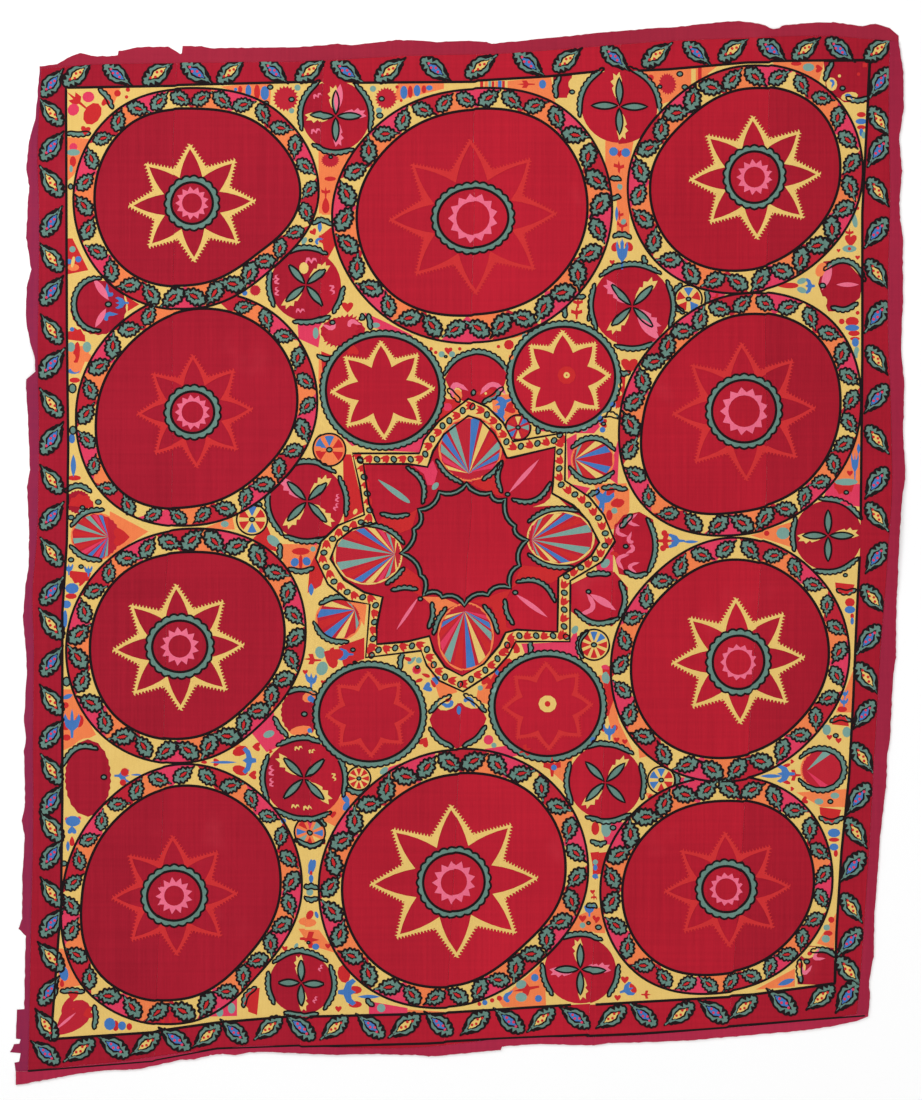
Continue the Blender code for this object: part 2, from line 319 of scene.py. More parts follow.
@dataclass
class Ground:
    """The embroidered ground: its outline, its seams and its six strips of handwoven cotton."""

    top_left: Point = (-916.6, 1064.8)
    top_right: Point = (950.4, 1125.8)
    bottom_left: Point = (-944.6, -1140.2)
    bottom_right: Point = (878.4, -1014.2)
    bow_top: tuple[Point, ...] = (
        (0.0, 0), (0.06, 7), (0.12, 5), (0.31, -3), (0.43, 3), (0.55, 0), (0.66, 10), (0.74, 17),
        (0.92, 18), (0.97, 8), (1.0, 0),
    )
    bow_bottom: tuple[Point, ...] = (
        (0.0, 0), (0.05, -5), (0.11, -6), (0.16, -15), (0.27, -24), (0.34, -12), (0.45, 7), (0.5, 7),
        (0.58, -2), (0.7, 13), (0.79, 13), (0.96, 7), (1.0, 0),
    )
    bow_left: tuple[Point, ...] = (
        (0.0, 0), (0.04, -1), (0.14, -2), (0.21, -4), (0.27, -4), (0.33, -1), (0.44, -1), (0.47, 7),
        (0.49, 4), (0.52, -4), (0.55, -6), (0.63, -6), (0.67, -4), (0.72, -1), (0.85, -1), (0.89, 3),
        (0.925, 8), (0.95, 2), (1.0, 0),
    )
    bow_right: tuple[Point, ...] = (
        (0.0, 0), (0.025, 4), (0.086, 9), (0.17, 15), (0.24, 18), (0.31, 22), (0.38, 25), (0.44, 32),
        (0.5, 35), (0.54, 40), (0.59, 33), (0.63, 30), (0.67, 22), (0.72, 16), (0.77, 14), (0.85, 13),
        (0.88, 8), (0.93, 3), (1.0, 0),
    )
    seams: tuple[Point, ...] = (
        (0.1524, 0.160), (0.328, 0.333), (0.502, 0.513), (0.675, 0.683), (0.845, 0.860),
    )
    slips: tuple[float, ...] = (0.0, 1.6, -1.0, 1.0, -1.4, 1.2)
    reach: float = 0.025
    thickness: float = 1.2
    grain: float = 10.0
    seam_lines: list[Path] = field(default_factory=list)

    def __post_init__(self) -> None:
        """Works out the seams' lines, which the embroidery is cut along."""
        bounds = [(0.0, 0.0), *self.seams, (1.0, 1.0)]
        self.bounds = bounds
        for at_bottom, at_top in self.seams:
            ups = spread(0.0, 1.0, 41)
            self.seam_lines.append([self.point(at_bottom + (at_top - at_bottom) * up, up) for up in ups])

    def side(self, start: Point, end: Point, bow: Sequence[Point], outwards: Point, share: float) -> Point:
        """A point on one side, which bows out from the straight line between its corners."""
        steps = (-1.0, -0.6, -0.2, 0.2, 0.6, 1.0)
        ends = min(share, 1.0 - share, self.reach)
        out = sum(read_off(bow, share + ends * step) for step in steps) / len(steps)
        x = start[0] + (end[0] - start[0]) * share + outwards[0] * out
        y = start[1] + (end[1] - start[1]) * share + outwards[1] * out
        return x, y

    def top(self, share: float) -> Point:
        """A point on the top seam."""
        return self.side(self.top_left, self.top_right, self.bow_top, (0, 1), share)

    def bottom(self, share: float) -> Point:
        """A point on the bottom seam."""
        return self.side(self.bottom_left, self.bottom_right, self.bow_bottom, (0, -1), share)

    def left(self, share: float) -> Point:
        """A point on the left seam."""
        return self.side(self.bottom_left, self.top_left, self.bow_left, (-1, 0), share)

    def right(self, share: float) -> Point:
        """A point on the right seam."""
        return self.side(self.bottom_right, self.top_right, self.bow_right, (1, 0), share)

    def point(self, across: float, up: float) -> Point:
        """The place of a point given as shares of the ground's width and height.

        Args:
            across: the share of the width, from the left.
            up: the share of the height, from the bottom.
        Returns:
            Its x and y, on a surface ruled between the four sides.
        """
        place = []
        sides = self.left(up), self.right(up)
        ends = self.bottom(across), self.top(across)
        for axis in (0, 1):
            between_sides = (1 - across) * sides[0][axis] + across * sides[1][axis]
            between_ends = (1 - up) * ends[0][axis] + up * ends[1][axis]
            low = (1 - across) * self.bottom_left[axis] + across * self.bottom_right[axis]
            high = (1 - across) * self.top_left[axis] + across * self.top_right[axis]
            place.append(between_sides + between_ends - (1 - up) * low - up * high)
        return place[0], place[1]

    def strip_at(self, points: np.ndarray) -> np.ndarray:
        """The number of the strip that each point is on, from 0."""
        strip = np.zeros(len(points), dtype=int)
        for line in self.seam_lines:
            x, y = np.array(line).T
            strip += points[:, 0] > np.interp(points[:, 1], y, x)
        return strip

    def outline(self) -> Path:
        """The ground's four sides as one outline that turns left."""
        shares = spread(0.0, 1.0, 61)
        path = [self.bottom(share) for share in shares[:-1]] + [self.right(share) for share in shares[:-1]]
        path += [self.top(share) for share in reversed(shares[1:])]
        return path + [self.left(share) for share in reversed(shares[1:])]


# Modelling


class Bench:
    """One mesh on the workbench, shaped by edit-mode steps."""

    def __init__(self, piece: bpy.types.Object) -> None:
        """Takes a piece and opens it in edit mode."""
        self.piece = piece
        bpy.ops.object.mode_set(mode="EDIT")

    def pick(self, test: Callable[[Vector], bool], kind: str = "VERT") -> None:
        """Selects the points, or the faces by their middle, whose place passes a test."""
        bpy.ops.mesh.select_mode(type=kind)
        bpy.ops.mesh.select_all(action="DESELECT")
        shape = bmesh.from_edit_mesh(self.piece.data)
        for part in shape.verts if kind == "VERT" else shape.faces:
            part.select_set(test(part.co if kind == "VERT" else part.calc_center_median()))
        shape.select_flush(True)
        bmesh.update_edit_mesh(self.piece.data)

    def paint(self, slot: int) -> None:
        """Gives the selected faces one of the piece's materials."""
        self.piece.active_material_index = slot
        bpy.ops.object.material_slot_assign()

    def close(self) -> bpy.types.Object:
        """Leaves edit mode with the normals outwards."""
        bpy.ops.mesh.select_all(action="SELECT")
        bpy.ops.mesh.normals_make_consistent(inside=False)
        bpy.ops.object.mode_set(mode="OBJECT")
        return self.piece


def deselect() -> None:
    """Deselects everything, so that the next operator acts on what it is given."""
    if bpy.context.object and bpy.context.object.mode != "OBJECT":
        bpy.ops.object.mode_set(mode="OBJECT")
    bpy.ops.object.select_all(action="DESELECT")


def select(pieces: Sequence[bpy.types.Object]) -> None:
    """Selects these pieces and nothing else."""
    deselect()
    for piece in pieces:
        piece.select_set(True)
    bpy.context.view_layer.objects.active = pieces[0]


def joined(pieces: Sequence[bpy.types.Object], name: str) -> bpy.types.Object:
    """Joins the pieces into one, with its object at the origin."""
    select(pieces)
    bpy.ops.object.join()
    made = bpy.context.object
    bpy.ops.object.transform_apply(location=True, rotation=True, scale=True)
    made.name = name
    return made


def from_points(name: str, points: Sequence, faces: Sequence) -> bpy.types.Object:
    """A new piece from its points in millimetres and its faces."""
    mesh = bpy.data.meshes.new(name)
    mesh.from_pydata([tuple(value * MM for value in point) for point in points], [], faces)
    made = bpy.data.objects.new(name, mesh)
    bpy.context.collection.objects.link(made)
    return made


@dataclass
class Cloth:
    """The laid cloth: it carries the pieces and lays each one over the folds."""

    ground: Ground = field(default_factory=Ground)
    folds: Folds = field(default_factory=Folds)

    def lay(self, piece: bpy.types.Object, level: float, slipped: bool = True) -> None:
        """Lays a flat piece on the folds.

        Args:
            piece: the piece, modelled flat, with z = 0 as its own underside.
            level: how high that underside goes above the underside of the cloth, in millimetres.
            slipped: whether it was stitched before the strips were sewn together, a little out of line.
        """
        mesh = piece.data
        points = np.empty(len(mesh.vertices) * 3)
        mesh.vertices.foreach_get("co", points)
        points = points.reshape(-1, 3)
        flat = points[:, :2] / MM
        if slipped:
            flat[:, 1] += np.array(self.ground.slips)[self.ground.strip_at(flat)]
        points[:, :2] = flat * MM
        points[:, 2] += (self.folds.lift(flat) + level) * MM
        mesh.vertices.foreach_set("co", points.ravel())
        mesh.update()

    def finish(self, piece: bpy.types.Object, slot: str) -> None:
        """Hands a piece over: it rides on the one body."""
        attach(piece, "root")
        log.info("%s: %d faces", piece.name, len(piece.data.polygons))


# Finishes


class Sock:
    """A shader socket, or a number, that takes part in sums."""

    def __init__(self, nodes: Nodes, source: bpy.types.NodeSocket | float) -> None:
        """Wraps an output socket or a plain number."""
        self.nodes = nodes
        self.source = source

    def maths(self, operation: str, *values: Sock | float) -> Sock:
        """One Math node on these values."""
        return self.nodes.add("ShaderNodeMath", {"operation": operation}, dict(enumerate(values)))

    def __add__(self, other: Sock | float) -> Sock:
        """The sum."""
        return self.maths("ADD", self, other)

    __radd__ = __add__

    def __sub__(self, other: Sock | float) -> Sock:
        """The difference."""
        return self.maths("SUBTRACT", self, other)

    def __rsub__(self, other: float) -> Sock:
        """The difference from a number."""
        return self.maths("SUBTRACT", other, self)

    def __mul__(self, other: Sock | float) -> Sock:
        """The product."""
        return self.maths("MULTIPLY", self, other)

    __rmul__ = __mul__

    def __pow__(self, other: float) -> Sock:
        """The power."""
        return self.maths("POWER", self, other)

    def clamped(self) -> Sock:
        """The value held between 0 and 1."""
        return self.maths("MINIMUM", self.maths("MAXIMUM", self, 0.0), 1.0)

    def step(self, low: float, high: float) -> Sock:
        """A smooth rise from 0 at low to 1 at high."""
        settings = {"interpolation_type": "SMOOTHSTEP"}
        return self.nodes.add("ShaderNodeMapRange", settings, {0: self, 1: low, 2: high})


class Nodes:
    """The node tree of one material."""

    def __init__(self, name: str) -> None:
        """Starts a material with its shader and its output."""
        self.material = bpy.data.materials.new(name)
        self.material.use_nodes = True
        self.tree = self.material.node_tree
        self.shader = self.tree.nodes["Principled BSDF"]

    def add(self, kind: str, settings: dict, values: dict, output: int | str = 0) -> Sock:
        """Adds one node.

        Args:
            kind: the node's type.
            settings: its own settings, set before its sockets.
            values: numbers, colours or other sockets for its inputs, by index or name.
            output: which of its outputs is wanted.
        Returns:
            That output.
        """
        node = self.tree.nodes.new(kind)
        for name, value in settings.items():
            setattr(node, name, value)
        for name, value in values.items():
            self.put(node.inputs[name], value)
        return Sock(self, node.outputs[output])

    def put(self, socket: bpy.types.NodeSocket, value: Sock | float | tuple) -> None:
        """Links a socket, or sets its own value."""
        if isinstance(value, Sock):
            self.tree.links.new(value.source, socket)
        else:
            socket.default_value = value

    def place(self) -> Sock:
        """The place on the piece, in metres."""
        return self.add("ShaderNodeTexCoord", {}, {}, "Object")

    def stretched(self, scale: tuple[float, float, float], turn: float = 0.0) -> Sock:
        """The place, turned and scaled along each axis."""
        values = {"Vector": self.place(), "Scale": scale, "Rotation": (0.0, 0.0, math.radians(turn))}
        return self.add("ShaderNodeMapping", {}, values)

    def noise(self, scale: tuple[float, float, float], detail: float = 2.0, turn: float = 0.0) -> Sock:
        """A soft noise from 0 to 1, with so many grains in a metre along each axis."""
        values = {"Vector": self.stretched(scale, turn), "Scale": 1.0, "Detail": detail}
        return self.add("ShaderNodeTexNoise", {}, values, 0)

    def ribs(self, pitch: float, turn: float, wobble: float = 0.0) -> Sock:
        """Even ribs from 0 to 1, so many millimetres apart, across a direction in degrees."""
        settings = {"wave_type": "BANDS", "bands_direction": "X", "wave_profile": "SIN"}
        scale = 1.0 / (pitch * MM) / 3.1831
        values = {"Vector": self.stretched((1.0, 1.0, 1.0), turn), "Scale": scale}
        values |= {"Distortion": wobble, "Detail": 1.0, "Detail Scale": 1.5}
        return self.add("ShaderNodeTexWave", settings, values, "Fac")

    def blend(self, share: Sock | float, first: Sock | tuple, second: Sock | tuple) -> Sock:
        """A colour between two others."""
        settings = {"data_type": "RGBA", "clamp_factor": True}
        return self.add("ShaderNodeMix", settings, {0: share, 6: first, 7: second}, 2)

    def bump(self, height: Sock, distance: float) -> Sock:
        """A bump of this height in millimetres."""
        return self.add("ShaderNodeBump", {}, {"Height": height, "Distance": distance * MM, "Strength": 1.0})

    def dress(self, colour: Sock, roughness: Sock | float, bump: Sock | None) -> bpy.types.Material:
        """Puts the finish on the shader and returns the material."""
        self.put(self.shader.inputs["Base Color"], colour)
        self.put(self.shader.inputs["Roughness"], roughness)
        self.shader.inputs["Specular IOR Level"].default_value = 0.12
        if bump:
            self.put(self.shader.inputs["Normal"], bump)
        return self.material


def colour(red: int, green: int, blue: int) -> tuple[float, float, float, float]:
    """A colour seen as these screen values, in linear light."""
    values = [value / 255 for value in (red, green, blue)]
    linear = [v / 12.92 if v <= 0.04045 else ((v + 0.055) / 1.055) ** 2.4 for v in values]
    return linear[0], linear[1], linear[2], 1.0


@dataclass(frozen=True)
class Cotton:
    """Handwoven cotton, dyed unevenly and faded in places, with ribs of thicker threads."""

    name: str
    dye: tuple[int, int, int]
    deep: tuple[int, int, int]
    worn: tuple[int, int, int]
    thread_pitch: float = 0.9

    def material(self) -> bpy.types.Material:
        """Makes the material."""
        n = Nodes(self.name)
        cloud = n.noise((2.2, 2.2, 2.2), 3.0)
        warp = n.noise((160.0, 3.0, 1.0), 2.0)
        weft = n.noise((3.5, 130.0, 1.0), 2.0)
        slub = n.noise((420.0, 22.0, 1.0), 1.0)
        tone = (0.9 * cloud + 0.6 * warp + 0.4 * weft + 0.3 * slub - 0.6).clamped()
        base = n.blend(tone, colour(*self.deep), colour(*self.dye))
        fade = n.noise((5.0, 4.0, 1.0), 4.0).step(0.62, 0.85)
        base = n.blend(fade * 0.45, base, colour(*self.worn))
        weave = n.ribs(self.thread_pitch, 0.0, 0.4) * 0.5 + n.ribs(self.thread_pitch * 1.15, 90.0, 0.4) * 0.5
        relief = weave * 0.6 + slub * 0.5 + warp * 0.4
        return n.dress(base, 0.78 + weave * 0.14, n.bump(relief, 0.35))


@dataclass(frozen=True)
class Silk:
    """Laid silk threads, couched side by side, with a soft shine and uneven dye."""

    thread: Thread
    dye: tuple[int, int, int]
    deep: tuple[int, int, int]
    turn: float = 0.0
    pitch: float = 1.3

    def material(self) -> bpy.types.Material:
        """Makes the material."""
        n = Nodes(self.thread.value)
        strands = n.ribs(self.pitch, self.turn, 1.2)
        streaks = n.noise((420.0, 26.0, 1.0), 2.0, self.turn)
        cloud = n.noise((16.0, 16.0, 1.0), 3.0)
        couching = n.ribs(self.pitch * 3.1, self.turn + 62.0, 2.0)
        tone = (0.5 * streaks + 0.45 * cloud + 0.18 * strands + 0.08 * couching - 0.12).clamped()
        base = n.blend(tone, colour(*self.deep), colour(*self.dye))
        relief = strands * 0.7 + couching * 0.3
        return n.dress(base, 0.62 - streaks * 0.16, n.bump(relief, 0.4))


@dataclass(frozen=True)
class Corded:
    """A thread laid as a line of chain stitch, with its links along the line."""

    name: str
    dye: tuple[int, int, int]
    deep: tuple[int, int, int]
    link: float = 3.4

    def material(self) -> bpy.types.Material:
        """Makes the material."""
        n = Nodes(self.name)
        along = n.add("ShaderNodeAttribute", {"attribute_name": "along"}, {}, "Fac")
        turns = along * (2 * math.pi / self.link)
        links = turns.maths("SINE", turns) * 0.5 + 0.5
        grain = n.noise((500.0, 500.0, 500.0), 2.0)
        base = n.blend((grain * 0.7 + links * 0.3).clamped(), colour(*self.deep), colour(*self.dye))
        return n.dress(base, 0.7, n.bump(links * 0.8 + grain * 0.4, 0.5))


@dataclass(frozen=True)
class Floor:
    """The plain pale floor."""

    name: str = "pale_floor"
    tone: tuple[int, int, int] = (253, 253, 253)

    def material(self) -> bpy.types.Material:
        """Makes the material."""
        n = Nodes(self.name)
        n.shader.inputs["Base Color"].default_value = colour(*self.tone)
        n.shader.inputs["Roughness"].default_value = 0.9
        return n.material


class Dyes:
    """All the finishes, made once each."""

    def __init__(self) -> None:
        """Makes the materials of the cottons, the silks and the outline."""
        silks = (
            Silk(Thread.YELLOW, (240, 208, 124), (222, 180, 94), 0.0),
            Silk(Thread.ORANGE, (250, 142, 84), (230, 110, 62), 0.0),
            Silk(Thread.RED, (214, 46, 44), (186, 28, 36), 0.0),
            Silk(Thread.PINK, (236, 70, 104), (208, 40, 78), 0.0),
            Silk(Thread.ROSE, (246, 128, 156), (224, 88, 120), 0.0),
            Silk(Thread.GREEN, (120, 156, 144), (72, 108, 98), 20.0),
            Silk(Thread.BLUE, (80, 136, 200), (50, 96, 168), 0.0),
            Silk(Thread.TEAL, (140, 176, 166), (100, 146, 136), 0.0),
            Silk(Thread.FADED, (214, 52, 50), (196, 36, 44), 0.0),
            Silk(Thread.CRIMSON, (200, 36, 52), (172, 22, 44), 0.0),
        )
        self.of = {silk.thread: silk.material() for silk in silks}
        self.of[Thread.OUTLINE] = Corded(Thread.OUTLINE.value, (32, 18, 20), (10, 5, 7)).material()
        crimsons = (
            ((178, 28, 50), (138, 16, 36)), ((182, 28, 50), (144, 18, 38)), ((193, 30, 50), (156, 20, 40)),
            ((199, 31, 51), (163, 21, 41)), ((194, 29, 49), (152, 18, 38)), ((182, 27, 47), (140, 16, 36)),
        )
        self.ground = [
            Cotton(f"crimson_cotton_{number}", dye, deep, (206, 60, 76)).material()
            for number, (dye, deep) in enumerate(crimsons, 1)
        ]
        self.edging = {
            "top": Cotton("edging_cotton_top", (170, 40, 62), (144, 30, 54), (184, 64, 82)).material(),
            "bottom": Cotton("edging_cotton_bottom", (186, 44, 74), (152, 32, 62), (198, 78, 98)).material(),
            "left": Cotton("edging_cotton_left", (160, 40, 72), (124, 34, 72), (174, 72, 96)).material(),
            "right": Cotton("edging_cotton_right", (170, 38, 66), (140, 28, 56), (184, 70, 90)).material(),
        }


# The stitching


@dataclass
class Needlework:
    """Collects the flat patches and the lines of the design, and then stitches them.

    A later patch covers an earlier one. Lines are kept by the piece that they belong to.
    """

    cloth: Cloth
    dyes: Dyes
    patches: list[tuple[Thread, Path]] = field(default_factory=list)
    lines: dict[str, list[tuple[Path, bool, float, int]]] = field(default_factory=dict)
    covers: list[Path] = field(default_factory=list)
    limits: Path = field(default_factory=list)
    grid: float = 12.0
    longest: float = 18.0
    silk_height: float = 0.6
    line_height: float = 1.2
    line_step: float = 6.0

    def patch(self, thread: Thread, path: Path) -> None:
        """Lays a patch of silk, or with Thread.BARE leaves the ground showing."""
        fine: Path = []
        for (x0, y0), (x1, y1) in zip(path, [*path[1:], path[0]]):
            parts = max(1, math.ceil(math.hypot(x1 - x0, y1 - y0) / self.longest))
            fine += [(x0 + (x1 - x0) * part / parts, y0 + (y1 - y0) * part / parts) for part in range(parts)]
        self.patches.append((thread, turning_left(fine)))

    def cover(self, path: Path) -> None:
        """Hides the lines couched so far where they lie inside an outline."""
        self.covers.append(path)

    def line(
        self, group: str, path: Path, closed: bool = True, width: float = 6.0, keep_points: bool = False,
    ) -> None:
        """Couches a dark line along a path."""
        fine = path if keep_points else resampled(path, self.line_step, closed)
        self.lines.setdefault(group, []).append((fine, closed, width, len(self.covers)))

    def seen(self, path: Path, closed: bool, covers: Sequence[Path]) -> list[tuple[Path, bool]]:
        """The stretches of a line that no cover hides, each with whether it is closed."""
        hidden = np.zeros(len(path), dtype=bool)
        for cover in covers:
            hidden |= inside(cover, np.array(path))
        if not hidden.any():
            return [(path, closed)]
        start = int(np.flatnonzero(hidden)[0]) if closed else 0
        runs: list[tuple[Path, bool]] = []
        run: Path = []
        for step in range(len(path)):
            where = (start + step) % len(path)
            if not hidden[where]:
                run.append(path[where])
            if (hidden[where] or step == len(path) - 1) and run:
                if len(run) > 2:
                    runs.append((run, False))
                run = []
        return runs

    def stitch(self) -> None:
        """Cuts the patches where they meet and makes one raised piece of each silk."""
        corners: list[Vector] = []
        faces: list[list[int]] = []
        for _, path in self.patches:
            faces.append(list(range(len(corners), len(corners) + len(path))))
            corners += [Vector(point) for point in path]
        edges: list[tuple[int, int]] = []
        for line in self.cloth.ground.seam_lines:
            first = len(corners)
            corners += [Vector(point) for point in line]
            edges += [(first + step, first + step + 1) for step in range(len(line) - 1)]
        steps = int(1200 / self.grid)
        for across in range(-steps, steps + 1):
            for up in range(-steps, steps + 1):
                corners.append(Vector((across * self.grid + 0.11 * up, up * self.grid + 0.07 * across)))
        points, _, cut, _, _, owners = geometry.delaunay_2d_cdt(corners, edges, faces, 1, 1e-3)
        log.info("arrangement: %d points, %d faces", len(points), len(cut))
        flat = np.array([tuple(point) for point in points])
        middles = np.array([flat[list(face)].mean(axis=0) for face in cut])
        strips = self.cloth.ground.strip_at(middles)
        by_thread: dict[Thread, list[tuple[int, tuple[int, ...]]]] = {}
        kept = inside(self.limits, middles)
        for face, strip, owner, within in zip(cut, strips, owners, kept):
            if owner and within:
                thread = self.patches[max(owner)][0]
                by_thread.setdefault(thread, []).append((int(strip), tuple(face)))
        for thread, made in by_thread.items():
            if thread is not Thread.BARE:
                self.stitch_one(thread, made, flat)

    def stitch_one(
        self, thread: Thread, made: Sequence[tuple[int, tuple[int, ...]]], flat: np.ndarray,
    ) -> None:
        """Makes the raised piece of one silk.

        Args:
            thread: the silk.
            made: its faces, each with the number of its strip.
            flat: the points of the whole arrangement.
        """
        numbers: dict[tuple[int, int], int] = {}
        points: list[tuple[float, float, float]] = []
        faces: list[list[int]] = []
        slips = self.cloth.ground.slips
        for strip, face in made:
            corners = []
            for corner in face:
                if (strip, corner) not in numbers:
                    numbers[(strip, corner)] = len(points)
                    points.append((flat[corner][0], flat[corner][1] + slips[strip], 0.0))
                corners.append(numbers[(strip, corner)])
            faces.append(corners)
        piece = from_points(thread.value, points, faces)
        piece.data.materials.append(self.dyes.of[thread])
        select([piece])
        bpy.ops.object.mode_set(mode="EDIT")
        bpy.ops.mesh.select_all(action="SELECT")
        bpy.ops.mesh.normals_make_consistent(inside=False)
        bpy.ops.object.mode_set(mode="OBJECT")
        if piece.data.polygons[0].normal.z < 0:
            piece.data.flip_normals()
        thick = piece.modifiers.new("raised", "SOLIDIFY")
        thick.thickness = self.silk_height * MM
        thick.offset = -1.0
        bpy.ops.object.modifier_apply(modifier=thick.name)
        piece.data.shade_flat()
        self.cloth.lay(piece, self.cloth.ground.thickness + self.silk_height - 0.05, slipped=False)
        self.cloth.finish(piece, SLOT_OF.get(thread, thread.value))

    def couch(self) -> None:
        """Makes the lines of each group, as raised cords with their stitches running along them."""
        for group, lines in self.lines.items():
            points: list[tuple[float, float, float]] = []
            faces: list[tuple[int, ...]] = []
            along: list[float] = []
            stretches = [
                (path, closed, width)
                for whole, joined_up, width, first_cover in lines
                for path, closed in self.seen(whole, joined_up, self.covers[first_cover:])
            ]
            for path, closed, width in stretches:
                first = len(points)
                run = lengths(path, closed)
                side = normals(path, closed)
                for number, ((x, y), (right, ahead)) in enumerate(zip(path, side)):
                    for out, high in ((-0.5, 0.0), (-0.28, 1.0), (0.28, 1.0), (0.5, 0.0)):
                        reach = out * width
                        points.append((x + reach * right, y + reach * ahead, high * self.line_height))
                        along.append(float(run[number]))
                count = len(path)
                for step in range(count if closed else count - 1):
                    here, there = first + 4 * step, first + 4 * ((step + 1) % count)
                    for low, high in ((0, 1), (1, 2), (2, 3), (3, 0)):
                        faces.append((here + low, here + high, there + high, there + low))
                if not closed:
                    faces.append((first + 3, first + 2, first + 1, first))
                    faces.append(tuple(first + 4 * (count - 1) + corner for corner in range(4)))
            piece = from_points(f"lines_{group}", points, faces)
            layer = piece.data.attributes.new("along", "FLOAT", "POINT")
            layer.data.foreach_set("value", along)
            piece.data.materials.append(self.dyes.of[Thread.OUTLINE])
            select([piece])
            bpy.ops.object.shade_smooth_by_angle(angle=math.radians(70))
            self.cloth.lay(piece, self.cloth.ground.thickness)
            self.cloth.finish(piece, Thread.OUTLINE.value)


# Leaves


@dataclass
class Leaf:
    """A scalloped leaf with a dark outline, a green band, and a slit or a filled heart."""

    name: str
    length: float = 55.0
    width: float = 39.0
    points: int = 42
    outline: float = 4.4
    slit_length: float = 0.60
    slit_width: float = 0.50
    fill_length: float = 0.74
    fill_width: float = 0.46
    tip: float = 6.0
    filling: Thread = Thread.RED
    berry: Thread | None = None
    height: float = 0.9
    valley: Point = (0.93, 0.86)
    # x and y of each berry, as shares of the leaf's length and width
    berries: Sequence[Point] = ((-0.22, 0.03), (-0.1, -0.07), (0.01, 0.06), (0.12, -0.03))
    berry_size: float = 3.2

    def model(self, dyes: Dyes) -> bpy.types.Object:
        """Models one leaf at the origin, with its tip along +X.

        Args:
            dyes: the finishes.
        Returns:
            The leaf, in metres.
        """
        deselect()
        bpy.ops.mesh.primitive_circle_add(vertices=self.points, radius=0.5 * MM, fill_type="NGON")
        leaf = bpy.context.object
        leaf.name = self.name
        for thread in (Thread.OUTLINE, Thread.GREEN, self.filling):
            leaf.data.materials.append(dyes.of[thread])
        bench = Bench(leaf)
        bpy.ops.mesh.select_all(action="SELECT")
        bpy.ops.transform.resize(value=(self.length, self.width, 1.0))
        step = 2 * math.pi / self.points
        near = self.length * MM

        def in_valley(place: Vector) -> bool:
            number = round(math.atan2(place.y / self.width, place.x / self.length) / step)
            return number % 3 == 0 and abs(number) not in (0, self.points // 2)

        bench.pick(in_valley)
        bpy.ops.transform.resize(value=(*self.valley, 1.0))
        for beyond, narrowed in ((0.05, 0.92), (0.25, 0.84), (0.40, 0.78), (0.47, 0.62)):
            bench.pick(lambda place: place.x > beyond * near)
            bpy.ops.transform.resize(value=(1.0, narrowed, 1.0))
        bpy.ops.transform.translate(value=(self.tip * MM, 0.0, 0.0))
        bench.pick(lambda place: True, "FACE")
        bpy.ops.mesh.extrude_region_move(TRANSFORM_OT_translate={"value": (0.0, 0.0, self.height * MM)})
        top = 0.5 * self.height * MM
        bench.pick(lambda place: place.z < 0.1 * top, "FACE")
        bpy.ops.mesh.poke()
        bench.pick(lambda place: place.z > top, "FACE")
        bpy.ops.mesh.inset(thickness=self.outline * MM, depth=0.0)
        bench.paint(1)
        for length, width, slot in (
            (self.slit_length, self.slit_width, 0), (self.fill_length, self.fill_width, 2),
        ):
            bpy.ops.mesh.inset(thickness=0.05 * MM, depth=0.0)
            bpy.ops.transform.resize(value=(length, width, 1.0))
            bench.paint(slot)
        half_length = 0.5 * self.slit_length * (self.length - 2 * self.outline) * MM
        half_width = 0.5 * self.slit_width * self.width * MM

        def near_slit_end(place: Vector) -> bool:
            along = abs(place.x - 0.04 * near) / half_length
            return place.z > top and 0.5 < along < 1.1 and abs(place.y) < half_width

        bench.pick(near_slit_end)
        bpy.ops.transform.resize(value=(1.0, 0.55, 1.0))
        if self.berry:
            self.add_berries(bench, dyes)
        return bench.close()

    def add_berries(self, bench: Bench, dyes: Dyes) -> None:
        """Adds the small raised berries in the leaf's filling."""
        bench.piece.data.materials.append(dyes.of[self.berry])
        for across, up in self.berries:
            place = (across * self.length * MM, up * self.width * MM, (self.height + 0.1) * MM)
            size = self.berry_size * MM
            bpy.ops.mesh.primitive_cylinder_add(vertices=6, radius=size, depth=0.6 * MM, location=place)
            bench.paint(3)
            bpy.ops.mesh.select_all(action="DESELECT")


def trimmed(piece: bpy.types.Object, edge: Path) -> None:
    """Cuts off what lies beyond the nearest stretch of an edge that turns left, and closes the cut."""
    away = np.array(edge) * MM - np.array(piece.location[:2])
    nearest = int(np.argmin(np.hypot(*away.T)))
    out = normals(edge, True)[nearest]
    bpy.context.view_layer.update()
    corners = np.array([tuple(piece.matrix_world @ point.co)[:2] for point in piece.data.vertices])
    seam = np.array(edge[nearest]) * MM
    if ((corners - seam) @ out).max() < 2.0 * MM:
        return
    select([piece])
    bpy.ops.object.mode_set(mode="EDIT")
    bpy.ops.mesh.select_all(action="SELECT")
    cut = {"plane_co": (*seam, 0.0), "plane_no": (*out, 0.0), "use_fill": True, "clear_outer": True}
    bpy.ops.mesh.bisect(**cut)
    bpy.ops.object.mode_set(mode="OBJECT")


def copied(
    model: bpy.types.Object, places: Sequence[tuple[float, float, float, float]], name: str,
    edge: Path | None = None,
) -> bpy.types.Object:
    """Copies a model to each place and joins the copies.

    Args:
        model: what is copied. It is used up.
        places: x, y and turn in degrees, and the scale of each copy.
        name: the joined piece's name.
        edge: an outline that cuts the copies off, if there is one.
    Returns:
        The joined piece.
    """
    copies = []
    for x, y, turn, scale in places:
        copy = model.copy()
        copy.data = model.data.copy()
        copy.location = (x * MM, y * MM, 0.0)
        copy.rotation_euler = (0.0, 0.0, math.radians(turn))
        copy.scale = (scale, scale, 1.0)
        bpy.context.collection.objects.link(copy)
        if edge:
            trimmed(copy, edge)
        copies.append(copy)
    bpy.data.objects.remove(model)
    return joined(copies, name)


# Forms and places of the design


